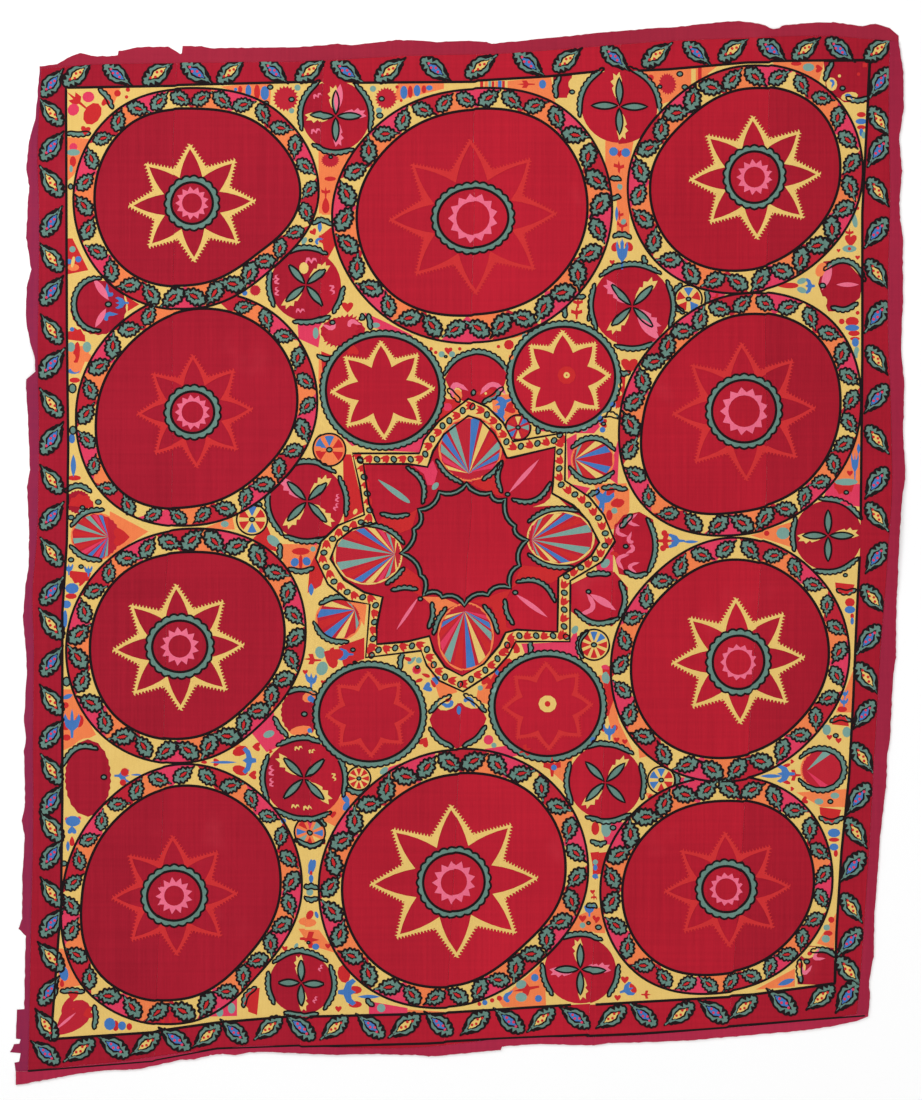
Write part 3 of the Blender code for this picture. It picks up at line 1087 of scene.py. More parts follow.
class Shape(Enum):
    """The small forms that the design is made of. Each points along +X and is one unit long."""

    DOT = "dot"
    DROP = "drop"
    PETAL = "petal"
    HEART = "heart"
    CURL = "curl"
    SPARK = "spark"
    BOWL = "bowl"
    BAR = "bar"
    CROWN = "crown"
    HORNS = "horns"
    SPRIG = "sprig"
    WAVE = "wave"
    TULIP = "tulip"


def unit_shapes() -> dict[Shape, Path]:
    """The outline of each form."""
    bowl = [(0.5 * math.cos(a), 0.5 * math.sin(a)) for a in (math.radians(d) for d in range(-90, 91, 20))]
    teeth = [(x + 0.1 * (number % 2), y) for number, (x, y) in enumerate(bowl)]
    curl = [(-0.5, 0.05), (-0.35, 0.3), (-0.1, 0.36), (0.15, 0.25), (0.3, 0.0), (0.5, -0.3), (0.15, -0.15)]
    curl += [(-0.05, 0.02), (-0.2, 0.0), (-0.3, -0.16), (-0.45, -0.12)]
    crown = [(-0.5, -0.18), (-0.1, -0.42), (0.5, -0.5), (0.2, -0.2), (0.45, 0.0)]
    horns = [(0.5, 0.5), (0.0, 0.42), (-0.35, 0.2), (-0.45, 0.0), (-0.35, -0.2), (0.0, -0.42), (0.5, -0.5)]
    horns += [(0.2, -0.25), (-0.05, -0.1), (-0.08, 0.0), (-0.05, 0.1), (0.2, 0.25)]
    sprig = [(-0.5, -0.06), (-0.15, -0.1), (-0.05, -0.42), (0.22, -0.4), (0.12, -0.1), (0.5, 0.0)]
    wave = [(-0.5, -0.1), (-0.4, 0.3), (-0.15, 0.32), (0.0, 0.05), (0.15, 0.3), (0.42, 0.26), (0.5, -0.1)]
    wave += [(0.34, 0.1), (0.2, 0.06), (0.05, -0.22), (-0.12, -0.02), (-0.28, 0.08), (-0.38, -0.2)]
    tulip = [(-0.5, -0.07), (-0.2, -0.1), (-0.04, -0.36), (0.3, -0.5), (0.5, -0.4), (0.26, -0.24)]
    tulip += [(0.22, -0.1), (0.5, 0.0)]
    return {
        Shape.DOT: ellipse(1.0, steps=10),
        Shape.DROP: [(x - 0.5, y) for x, y in drop(1.0, 0.55)],
        Shape.PETAL: [(x - 0.5, y) for x, y in almond(1.0, 0.34)],
        Shape.HEART: heart(1.0),
        Shape.CURL: curl,
        Shape.SPARK: toothed(0.4, 0.5, 20),
        Shape.BOWL: [(x - 0.25, y) for x, y in teeth],
        Shape.BAR: [(-0.5, -0.15), (0.5, -0.15), (0.5, 0.15), (-0.5, 0.15)],
        Shape.CROWN: crown + [(x, -y) for x, y in crown[-2::-1]],
        Shape.HORNS: horns,
        Shape.SPRIG: sprig + [(x, -y) for x, y in sprig[-2::-1]],
        Shape.WAVE: wave,
        Shape.TULIP: tulip + [(x, -y) for x, y in tulip[-2::-1]],
    }


SHAPES = unit_shapes()

# Cells of one colour between the rounds. The rounds are laid over their edges.
CELLS: dict[Thread, tuple[Path, ...]] = {
    Thread.ORANGE: (
        [(-70, -225), (-42, -240), (0, -305), (-40, -318)],
        [(45, -300), (88, -252), (112, -300), (70, -335), (40, -326)],
        [(-225, -85), (-200, -115), (-205, -160), (-235, -110)],
        [(300, 150), (372, 155), (372, 60), (335, 50), (318, 100)],
        [(-700, -330), (-655, -345), (-640, -400), (-700, -385)],
        [(-445, 400), (-400, 420), (-380, 375), (-430, 350)],
        [(395, -405), (440, -395), (440, -440), (400, -450)],
        [(-560, -400), (-500, -408), (-470, -430), (-545, -432)],
        [(700, -375), (760, -350), (770, -420), (715, -410)],
        [(-788, 1024), (-740, 1026), (-757, 985)],
        [(-862, 915), (-800, 910), (-845, 830), (-862, 815)],
        [(-522, 1024), (-410, 1036), (-412, 985)],
        [(-130, 1038), (-30, 1037), (-30, 1022), (-140, 995)],
        [(110, 1037), (205, 1048), (215, 990), (110, 1015)],
        [(395, 1064), (575, 1075), (480, 1000), (440, 985)],
        [(690, 1083), (808, 1085), (795, 1035), (700, 1066)],
        [(-306, 892), (-230, 888), (-265, 800), (-275, 745), (-305, 745)],
        [(325, 906), (387, 906), (378, 850), (378, 700), (350, 700), (350, 775), (325, 800)],
        [(-305, 440), (-285, 425), (-292, 380), (-306, 370)],
        [(75, 345), (135, 350), (140, 290), (80, 290)],
        [(115, 470), (130, 485), (265, 512), (225, 495)],
        [(290, 135), (330, 150), (378, 142), (378, 92), (345, 55), (330, 70)],
        [(645, 40), (745, 70), (745, 8)],
        [(893, 285), (888, 150), (822, 150), (850, 200)],
        [(-862, 455), (-805, 455), (-830, 395), (-862, 395)],
        [(-565, 50), (-495, 78), (-490, 50)],
        [(-765, 92), (-680, 47), (-765, -8)],
        [(-868, -300), (-850, -300), (-795, -400), (-868, -435)],
        [(-390, 18), (-300, 18), (-300, -45), (-380, -45)],
        [(-300, -585), (-270, -600), (-200, -520), (-245, -520)],
        [(-350, -828), (-305, -828), (-265, -880), (-330, -860)],
        [(-878, -870), (-868, -870), (-825, -950), (-878, -960)],
        [(-600, -1018), (-560, -1010), (-560, -1025), (-600, -1035)],
        [(-115, -1003), (-30, -1008), (-30, -1018), (-115, -1018)],
        [(90, -985), (190, -900), (195, -998), (100, -1000)],
        [(310, -270), (335, -270), (355, -370), (385, -432), (345, -425), (325, -330)],
        [(185, -462), (258, -442), (232, -505)],
        [(262, -800), (320, -775), (325, -835), (240, -832)],
        [(412, -525), (455, -535), (430, -560)],
        [(872, -255), (868, -352), (832, -352)],
        [(835, -790), (828, -872), (790, -860)],
        [(655, -962), (742, -915), (742, -955)],
        [(745, -528), (860, -520), (858, -560), (800, -560)],
        [(-868, -690), (-855, -690), (-860, -770), (-870, -770)],
    ),
    Thread.RED: (
        [(-300, 700), (-275, 720), (-262, 690), (-290, 640)],
        [(-235, -440), (-190, -462), (-150, -450), (-200, -430)],
        [(60, -300), (100, -235), (130, -230), (90, -300)],
        [(-325, -30), (-300, 20), (-285, -20), (-300, -70), (-330, -90)],
        [(318, -250), (345, -245), (352, -300), (335, -345), (322, -300)],
        [(-345, -580), (-300, -575), (-290, -640), (-340, -640)],
        [(292, -660), (340, -655), (322, -705), (300, -705)],
        [(-300, 445), (-262, 430), (-262, 390), (-298, 400)],
        [(-862, 692), (-847, 692), (-812, 622), (-862, 612)],
        [(-62, 332), (-15, 352), (12, 325), (-60, 262), (-92, 238)],
        [(-252, 218), (-234, 218), (-205, 92), (-250, 68)],
        [(-785, 598), (-700, 547), (-780, 498)],
        [(345, 396), (370, 396), (366, 330), (348, 315)],
        [(893, 385), (897, 290), (880, 290), (880, 385)],
        [(-420, 60), (-395, 0), (-460, 20)],
        [(-262, -205), (-205, -185), (-205, -232), (-250, -250)],
    ),
    Thread.YELLOW: (
        [(-345, -655), (-295, -655), (-290, -740), (-340, -740)],
        [(-350, -180), (-300, -160), (-290, -260), (-345, -260)],
        [(630, 440), (680, 460), (690, 420), (640, 405)],
    ),
    Thread.PINK: (
        [(240, 250), (262, 262), (262, 185), (243, 160)],
        [(255, -70), (285, -52), (300, -80), (255, -100)],
        [(140, -200), (248, -200), (248, -225), (150, -228)],
        [(-260, 262), (-200, 268), (-180, 245), (-232, 236)],
        [(-455, -395), (-400, -372), (-375, -420), (-420, -440)],
        [(-300, -448), (-262, -425), (-230, -452), (-262, -470)],
        [(-190, -520), (-150, -470), (-90, -450), (-130, -520)],
        [(60, -432), (105, -425), (140, -445), (90, -455)],
        [(345, -590), (380, -592), (360, -660), (335, -640)],
        [(-345, 20), (-310, 15), (-300, 60), (-330, 40)],
        [(-262, 470), (-205, 500), (-205, 440), (-262, 420)],
        [(395, 470), (440, 440), (470, 480), (430, 480)],
        [(-352, 510), (-298, 508), (-306, 450), (-350, 470)],
        [(-205, 530), (-165, 512), (-95, 478), (-195, 498)],
        [(-165, 226), (-60, 265), (-76, 222)],
        [(165, 268), (236, 263), (300, 262), (335, 300), (280, 292)],
        [(352, 245), (356, 245), (352, 150), (330, 165)],
        [(243, 152), (292, 142), (268, 112)],
        [(298, 0), (342, 28), (342, -42), (308, -45)],
        [(165, -200), (245, -196), (262, -165), (268, -250), (170, -222)],
        [(818, 152), (890, 150), (890, 100), (800, 110)],
        [(-450, -395), (-405, -345), (-395, -430)],
        [(-570, -1000), (-485, -965), (-485, -1020), (-570, -1022)],
        [(-195, -985), (-110, -1000), (-110, -1018), (-195, -1018)],
        [(315, -592), (372, -592), (350, -640), (325, -640)],
        [(478, -490), (560, -500), (480, -512)],
        [(545, 575), (600, 577), (560, 550)],
    ),
    Thread.BARE: (
        [(-800, 603), (-835, 585), (-843, 547), (-835, 508), (-795, 490), (-770, 547)],
        [(805, 1083), (905, 1083), (905, 990), (850, 990), (810, 1020)],
        [(745, -900), (775, -865), (828, -870), (830, -952), (748, -950)],
        [(210, 1048), (252, 1050), (246, 1000), (212, 1000)],
        [(340, 15), (345, 60), (365, 85), (400, 92), (430, 75), (440, 20), (428, -35), (395, -54),
         (355, -45)],
        [(250, -70), (300, -45), (345, -40), (375, -75), (372, -125), (340, -160), (290, -162), (250, -130)],
        [(793, 590), (805, 640), (850, 645), (892, 600), (885, 560), (850, 530), (815, 530)],
        [(-10, 345), (-28, 385), (0, 435), (40, 446), (85, 435), (110, 390), (95, 345), (40, 322)],
        [(-62, -365), (-45, -330), (0, -312), (45, -330), (64, -365), (45, -415), (0, -430), (-45, -415)],
    ),
}

# The small forms, laid in this order. Columns: x, y, length, then turn in degrees and width against the
# form's own, which may be left out where they are 0 and 1.
SPOTS: tuple[tuple[Thread, Shape, tuple[tuple[float, ...], ...]], ...] = (
    (Thread.YELLOW, Shape.DOT, (
        (823, 1030, 30, 100, 0.8), (862, 1003, 38, 10, 0.5), (257, 1030, 30, 90, 0.9),
        (252, 1000, 28, 90, 0.8), (-730, 1012, 34, 0, 0.6), (-338, 625, 26, 90, 0.8), (112, 455, 36),
        (-22, -330, 48, 20, 0.6), (28, -328, 48, 160, 0.6), (1, -318, 30, 0, 0.8), (775, -880, 40, 20, 0.6),
        (755, -915, 36, 80, 0.6), (332, 288, 44, 90), (-10, 352, 40, 20, 0.6), (800, 548, 34, 60, 0.7),
    )),
    (Thread.ORANGE, Shape.DOT, (
        (-845, 628, 26, 0, 0.6), (800, 622, 34, 60, 0.7), (-325, -318, 34, 20, 0.7),
        (-345, -392, 50, 10, 0.4), (-330, -812, 40, 0, 0.5), (118, 430, 12), (0, 348, 26, 100, 0.8),
        (-372, -20, 20, 90),
    )),
    (Thread.CRIMSON, Shape.SPARK, (
        (-378, 998, 58), (-157, 1001, 50), (462, 1033, 50, 100, 0.8), (-445, 576, 26),
        (-255, 490, 96, 38, 0.62), (-280, 865, 42, 0, 0.8),
    )),
    (Thread.CRIMSON, Shape.DROP, (
        (-848, -1025, 100, 225, 1.1), (-830, -1010, 60, 20, 1.2), (-855, -1000, 50, 80, 1.2),
    )),
    (Thread.RED, Shape.BOWL, (
        (-828, 112, 56, 90), (-830, -52, 54, 270, 0.9), (850, 142, 50, 270, 0.9), (852, -78, 48, 270, 0.9),
        (842, -372, 42, 90, 0.9), (820, -575, 60, 270, 0.8), (-450, -988, 60, 180), (-840, 478, 54, 90, 0.8),
        (-232, -212, 30), (345, -2, 20, 90),
    )),
    (Thread.RED, Shape.DOT, (
        (-803, 966, 52, 60, 0.72), (-748, 1011, 15), (-725, 1019, 10), (-728, 1003, 8),
        (-846, 861, 24, 90, 0.6), (-478, 1018, 16, 90, 0.6), (-441, 1012, 34, 90, 0.4), (-133, 1026, 8),
        (-124, 996, 7), (-104, 1015, 28, 90, 0.4), (-74, 1021, 18, 90, 0.6), (-280, 824, 26, 0, 0.4),
        (425, 1047, 14), (882, 1052, 8), (888, 963, 20, 0, 0.6), (888, 935, 20, 0, 0.5), (880, 757, 8),
        (-838, 440, 50, 85, 0.3), (-842, 380, 24, 0, 0.5), (-843, 165, 30, 0, 0.4), (-58, 450, 8),
        (-48, 442, 8), (5, 450, 8), (90, 453, 8), (113, 457, 22), (240, 390, 40), (347, 672, 22, 60, 0.8),
        (377, 675, 22, 120, 0.8), (335, 130, 30, 60, 0.6), (352, 110, 32, 20, 0.6), (334, 82, 24, 90, 0.6),
        (455, 45, 14), (452, 12, 14), (680, 42, 12), (868, 508, 30, 0, 0.7), (845, 508, 13),
        (872, 482, 26, 0, 0.5), (874, 470, 22, 0, 0.4), (880, 527, 9), (-850, -95, 26, 0, 0.5),
        (-865, -68, 6), (-830, -70, 6), (-862, -335, 14), (-832, -370, 28, 80, 0.7),
        (-862, -381, 20, 0, 0.9), (-860, -406, 18, 0, 0.8), (-478, -437, 36, 20, 0.6),
        (-478, -480, 36, -20, 0.6), (-250, -925, 40, 100, 0.7), (-225, -960, 30, 0, 0.6),
        (-225, -992, 30, 0, 0.5), (303, -607, 30, 90, 0.6), (322, -388, 13), (346, -383, 13), (92, -980, 12),
        (48, -993, 9), (76, -985, 10), (828, -632, 24, 0, 0.4), (832, -662, 16, 90, 0.6), (822, -808, 14),
        (815, -838, 20, 0, 0.6), (863, -110, 22, 0, 0.9), (868, -140, 12, 90, 0.7), (846, -345, 22, 0, 0.6),
        (-752, -1040, 24, 90, 0.6), (-722, -1042, 16, 90, 0.8), (303, -700, 40, 90, 0.3),
        (-325, -795, 22, 60, 0.7), (-320, -70, 26, 90, 0.6), (-345, 2, 40, 0, 0.4),
        (-345, -22, 34, 90, 0.25), (340, -262, 12), (330, -345, 26, 90, 0.4), (745, 1075, 24, 0, 0.4),
    )),
    (Thread.RED, Shape.HEART, (
        (-774, 990, 20, 100), (-818, 932, 22, 260), (-242, 545, 26, 270), (-20, 448, 18, 270),
        (793, 1064, 18), (838, 665, 9, 270), (880, 650, 11, 270), (865, 690, 30, 270, 0.9),
        (118, 318, 26, 200), (323, 284, 20, 180), (378, 418, 38, 270), (340, 640, 12, 270),
        (-318, 706, 16, 300), (-298, 690, 18, 240), (-532, -462, 18), (-440, -428, 20, 180),
        (-448, -490, 20, 180), (-845, -970, 24, 270), (-810, -1012, 24, 200), (-335, -262, 12, 270),
        (-295, -282, 12, 270), (-262, -1000, 15, 270), (368, -935, 18, 270), (352, -975, 15, 270),
        (350, -408, 13, 270), (368, -412, 13, 270), (275, -803, 17, 270), (305, -803, 17, 270),
        (297, -745, 11, 270), (-380, -870, 13, 270), (-285, -862, 13, 270), (765, -545, 17, 200),
        (863, 176, 14, 270), (-275, -572, 17, 270), (355, 882, 18, 270), (735, -460, 10), (735, -520, 10),
        (-745, 35, 40), (722, 46, 16, 180), (818, -405, 13, 270), (838, -412, 14, 270), (-412, -438, 10),
        (425, -535, 12, 200),
    )),
    (Thread.RED, Shape.SPRIG, (
        (-838, 996, 60, 140, 0.5), (-290, 795, 24, 90), (355, 850, 28, 90), (150, 1030, 40, 180, 0.5),
        (-415, -535, 10), (150, -960, 60, 190, 0.6), (415, -970, 22), (-320, -235, 40, 180, 0.7),
        (-272, -222, 36, 30), (-325, -850, 44), (300, -758, 16, 270), (356, 745, 22, 90),
        (362, 722, 30, 90, 0.9), (265, 550, 26, 90), (262, 528, 30, 90), (570, 563, 22), (862, 703, 22, 90),
        (208, -470, 46, 90), (740, -490, 30, 180),
    )),
    (Thread.RED, Shape.DROP, (
        (-290, 766, 36, 90, 0.9), (62, 350, 46, 180, 0.8), (725, 587, 50, 180, 0.5), (385, -955, 26, 120),
        (720, -470, 26, 200, 0.6), (720, -504, 26, 160, 0.6), (-558, -462, 14, 180),
    )),
    (Thread.PINK, Shape.DOT, (
        (-812, 1003, 27, 0, 0.9), (-845, 975, 28, 60, 0.9), (-845, 893, 18), (-22, 322, 20, 0, 0.9),
        (855, 108, 30, 0, 0.4), (-860, -585, 8), (-832, -583, 8), (325, -252, 18, 0, 0.6),
    )),
    (Thread.BLUE, Shape.DOT, (
        (-488, 1018, 8), (-460, 1015, 27, 90, 0.5), (-424, 1010, 32, 90, 0.6), (-118, 1014, 30, 90, 0.55),
        (-89, 1018, 26, 90, 0.6), (-62, 1024, 15, 0, 0.8), (187, 1030, 20, 90, 0.8), (343, 882, 20),
        (370, 882, 20), (888, 948, 26, 0, 0.5), (888, 924, 18, 90, 0.5), (-854, 641, 12, 90),
        (-834, 646, 14), (-848, 492, 10), (-844, 400, 26, 0, 0.5), (-468, 570, 12), (868, 494, 32, 0, 0.45),
        (875, 462, 20, 90, 0.8), (-848, -78, 30, 0, 0.8), (-860, -113, 20, 0, 0.9),
        (-863, -145, 40, 90, 0.25), (-846, -590, 34, 0, 0.7), (-866, -925, 34, 100, 0.6),
        (-765, -1036, 28, 90, 0.9), (-738, -1040, 20, 90, 0.9), (828, -617, 28, 0, 0.7),
        (828, -648, 20, 0, 0.8), (863, -126, 24, 0, 0.7), (868, -151, 16, 90, 0.5), (60, -990, 12),
        (170, -935, 17), (178, -981, 16), (-358, -22, 20, 60, 0.9), (-332, -20, 20, 120, 0.9),
        (298, -412, 13), (212, -473, 13), (-322, -322, 17, 0, 0.9), (-325, -392, 11), (-383, -591, 12),
        (342, 325, 13), (303, -693, 14, 90, 0.7), (303, -712, 14, 0, 0.8), (315, 293, 16, 90, 0.8),
        (319, 270, 13), (3, -345, 20, 90, 0.5), (-310, -795, 16, 110, 0.5), (-245, -556, 22, 60, 0.6),
        (-246, -540, 22, 130, 0.6), (-312, -865, 16, 0, 0.9), (-320, -690, 36, 70, 0.4),
    )),
    (Thread.BLUE, Shape.CURL, (
        (-768, 577, 30, 130, 0.9), (-764, 522, 32, 40, 0.9), (824, 1031, 20, 290, 0.9),
        (862, 1002, 22, 340, 0.8), (-24, -331, 32, 200, 0.9), (28, -329, 32, 340, 0.9), (112, -975, 30, 80),
        (-305, 686, 22, 60, 0.9),
    )),
    (Thread.BLUE, Shape.TULIP, (
        (-738, 550, 30, 180, 0.9), (100, 330, 40, 200, 0.9), (95, 303, 34, 120, 0.8),
        (362, 656, 62, 90, 0.45), (362, 672, 34, 90, 0.25), (320, 118, 44, 70), (-848, -380, 54, 90, 0.7),
        (-458, -458, 30, 180, 2.0), (775, 586, 22, 180, 1.6), (334, -393, 34, 90, 0.9),
        (-243, -965, 40, 0, 1.5), (-738, -490, 34, 0, 0.9), (722, -487, 40, 180), (-322, -282, 34, 90, 0.8),
        (372, -960, 32, 20), (-855, -36, 26, 90, 0.8), (-812, -40, 24, 90, 0.8), (290, -788, 26, 90, 0.9),
        (480, 28, 40, 180, 0.8), (852, -312, 20, 90, 0.8), (850, -330, 20, 90), (874, 190, 60, 90, 0.3),
        (-246, -222, 34, 180, 0.8),
    )),
    (Thread.BLUE, Shape.PETAL, (
        (362, 672, 44, 90, 0.5), (-515, -462, 60, 0, 0.3), (320, 105, 40, 90, 0.5),
        (-848, -365, 44, 90, 0.5), (690, -492, 50, 0, 0.5), (-845, 192, 50, 90, 0.7), (513, 26, 34, 0, 0.6),
        (-303, 716, 26, 90, 1.1), (-195, -975, 50, 0, 0.5), (723, -945, 40, 20, 0.9),
        (350, 745, 34, 90, 0.6), (882, 228, 24, 90, 0.9), (-322, -82, 28, 90, 1.2), (-857, -645, 24, 90),
        (-706, -488, 26, 0, 0.5), (-858, -316, 26, 20, 1.2),
    )),
    (Thread.TEAL, Shape.DOT, (
        (-845, 881, 30, 0, 0.5), (-847, 668, 14), (-352, 1022, 14), (-365, 971, 12), (-186, 1022, 14),
        (-173, 974, 14), (893, 918, 16, 90, 0.6), (862, 668, 32, 0, 0.5), (-850, 453, 22, 90, 0.8),
        (-815, 453, 24, 90, 0.8), (-337, 685, 18, 60, 0.6), (-312, 482, 26, 90, 0.5),
        (-180, 502, 20, 0, 0.6), (-35, 438, 14), (-12, 438, 14), (148, 475, 14), (357, 806, 14, 60, 0.8),
        (365, 730, 14, 60, 0.8), (878, 440, 26, 90, 0.5), (280, 272, 16, 30, 0.7), (757, 597, 22, 20, 0.6),
        (757, 577, 22, -20, 0.6), (716, 42, 30, 0, 0.9), (-512, 62, 18, 0, 0.8), (-405, 25, 34, 320, 0.6),
        (325, -24, 24, 45, 0.7), (258, -170, 20, 60, 0.7), (-415, -400, 26, 20, 0.6),
        (140, -950, 24, 20, 0.8), (140, -978, 26, 0, 0.8), (-168, -1000, 19), (-550, -1018, 13, 90, 0.8),
        (-523, -1012, 20, 90, 0.8), (-497, -1003, 24, 90, 0.7), (-162, -478, 22, 40, 0.6),
        (-49, 148, 20, 50, 0.6), (812, -825, 15, 0, 0.9), (810, -850, 19, 0, 0.9), (812, -390, 24, 90, 0.8),
        (856, -395, 24, 90, 0.8), (795, -548, 20, 0, 0.7), (830, -535, 20, 0, 0.7), (505, -498, 15, 0, 0.9),
        (-325, -745, 16, 90), (-302, -218, 28, 110, 0.8), (-298, -253, 32, 70, 0.8),
        (327, -605, 38, 90, 0.6), (326, -275, 26, 90, 0.7), (303, -681, 12), (275, -820, 13),
        (-355, -866, 14, 60, 0.6), (772, 1067, 26, 0, 0.7), (855, 155, 52, 0, 0.3), (-318, 7, 12),
        (-850, 845, 16, 90, 0.5), (-825, 92, 18, 0, 0.6),
    )),
    (Thread.TEAL, Shape.DROP, (
        (873, 733, 38, 100, 0.6), (-140, 137, 88, 144, 0.28), (-100, -235, 24, 40, 0.8),
    )),
    (Thread.ROSE, Shape.PETAL, (
        (146, 168, 100, 48, 0.3), (163, -117, 88, 324, 0.36), (320, -108, 66, 330, 0.7),
        (858, 589, 50, 0, 0.6), (-262, 1002, 62, 82, 0.9), (-784, 580, 58, 305, 0.8),
        (-785, 517, 48, 60, 0.8), (-862, -1030, 60, 220, 0.3), (420, 495, 70, 315, 0.9),
        (812, 605, 60, 250, 0.9), (-110, -132, 88, 236, 0.25),
    )),
    (Thread.ROSE, Shape.HORNS, (
        (-2, 362, 34, 300, 1.2), (78, 362, 30, 270, 1.9), (358, 50, 24, 20, 1.4), (385, 72, 28, 10),
        (360, -15, 26, 340, 1.4), (386, -30, 26, 350), (290, -118, 30, 160, 1.6), (765, -918, 26, 80),
        (792, -888, 26, 30),
    )),
    (Thread.ROSE, Shape.WAVE, (
        (-308, 1003, 20, 20), (-312, 925, 22, 10), (-322, 640, 26), (-396, 600, 22, 90), (-396, 574, 20, 90),
        (-277, 580, 22, 280), (-346, 530, 20), (-263, 122, 18, 80), (-266, 102, 18, 60),
        (-408, -480, 24, 90), (-408, -506, 20, 90), (-300, -912, 16, 60), (-312, -982, 16, 60),
        (-405, 600, 8),
    )),
    (Thread.YELLOW, Shape.WAVE, (
        (-350, -432, 18, 10), (-320, -437, 16, 30), (-273, -492, 18, 280), (-357, -560, 18),
        (-330, -563, 20, 10),
    )),
    (Thread.YELLOW, Shape.DOT, (
        (358, 370, 12, 60, 0.8), (357, 352, 10), (240, 390, 14), (62, 350, 6), (128, -226, 30, 30, 0.7),
        (198, -333, 40, 0, 0.95), (-225, 92, 14, 60, 0.6), (-846, 640, 26, 80, 0.3), (840, 1048, 7),
        (885, 400, 90, 92, 0.13),
    )),
    (Thread.RED, Shape.DOT, (
        (198, -333, 13), (240, 390, 4), (775, -882, 12, 20, 0.8), (755, -908, 14, 80, 0.8), (862, 668, 8),
        (-845, -1003, 5),
    )),
    (Thread.TEAL, Shape.DOT, (
        (-85, -235, 14), (50, -298, 12), (80, -302, 12), (80, -424, 12), (345, 92, 14),
    )),
    (Thread.PINK, Shape.DOT, ((-90, -256, 20), (68, -412, 22))),
    (Thread.RED, Shape.SPARK, ((-90, -256, 15), (-732, -482, 20), (-736, -505, 16), (-832, 112, 22))),
    (Thread.BLUE, Shape.HEART, ((-64, -294, 22, 200), (-46, -279, 20, 160), (-848, -612, 20, 90))),
    (Thread.RED, Shape.DROP, (
        (-54, -286, 20, 120, 0.8), (-70, -268, 20, 160, 0.8), (-86, -280, 20, 200, 0.8),
        (-848, -634, 22, 90), (-870, -946, 18, 90), (-322, -702, 12, 90), (-20, -322, 16, 20),
        (-110, -232, 18, 160),
    )),
    (Thread.RED, Shape.HEART, (
        (64, -284, 24, 90), (-75, -417, 24, 60), (-270, -230, 46, 150), (-230, 444, 26, 90),
        (120, -212, 36, 90),
    )),
    (Thread.BLUE, Shape.DROP, (
        (86, -262, 18, 120), (-322, -685, 26, 90), (-322, -717, 20, -90), (-873, -900, 28, 90, 1.1),
        (-848, 254, 26, 90),
    )),
    (Thread.YELLOW, Shape.DOT, ((118, -216, 12),)),
    (Thread.ORANGE, Shape.DOT, ((-850, 430, 20), (-815, 430, 20), (-840, 408, 22), (-60, -248, 16))),
    (Thread.RED, Shape.SPRIG, ((457, 28, 40), (150, -435, 30, 20))),
    (Thread.ROSE, Shape.CURL, (
        (-282, 500, 30, 200), (-228, 506, 30, 20), (380, 34, 26, 110), (380, 8, 26, 250),
    )),
)

# Bars across the narrow strips. Columns: x, y, width, height.
BARS: tuple[tuple[Thread, tuple[tuple[float, float, float, float], ...]], ...] = (
    (Thread.RED, (
        (53, 1028, 7, 17), (78, 1028, 6, 17), (101, 1029, 6, 17), (533, 1052, 8, 34),
        (-648, -1030, 7, 15), (-632, -1029, 6, 15), (-616, -1028, 6, 14), (-602, -1026, 6, 13),
        (896, 1072, 10, 10),
    )),
    (Thread.ORANGE, ((63, 1028, 7, 17), (86, 1028, 6, 17), (546, 1058, 10, 28))),
    (Thread.TEAL, ((71, 1028, 6, 17),)),
    (Thread.BLUE, ((93, 1029, 8, 17),)),
    (Thread.YELLOW, ((519, 1048, 10, 36),)),
)

# Knots: small green dots with a dark outline. Columns: x, y, length, and turn in degrees if it is turned.
KNOTS: tuple[tuple[float, ...], ...] = (
    (-851, 806, 12, 90), (-412, 1023, 12), (-421, 988, 11), (-365, 996, 12), (-167, 1000, 12),
    (-171, 963, 14), (-323, 686, 8), (-279, 872, 8), (252, 1013, 11), (489, 1055, 13), (500, 1026, 13),
    (445, 1027, 9), (847, 1021, 11), (-768, 547, 13), (-847, 362, 20, 90), (-846, 270, 18, 90),
    (-275, 508, 11), (35, 352, 12, 90), (110, 128, 10), (803, 587, 13), (855, 132, 10), (370, 16, 10),
    (127, -88, 11), (-82, -100, 10), (288, -86, 10), (-337, -356, 12), (-825, 100, 10), (-790, 112, 13),
    (-850, 78, 13), (-850, -15, 12), (-828, -30, 10), (-860, -283, 20, 90), (-778, -493, 12),
    (-866, -683, 14), (342, -603, 13), (310, -822, 13), (288, -815, 8), (853, -50, 9), (832, -403, 11),
    (820, -548, 11), (768, -900, 12), (-230, -212, 10), (-226, -240, 8), (-26, 433, 6), (-88, -250, 8),
    (-328, -856, 7), (321, 283, 9),
)

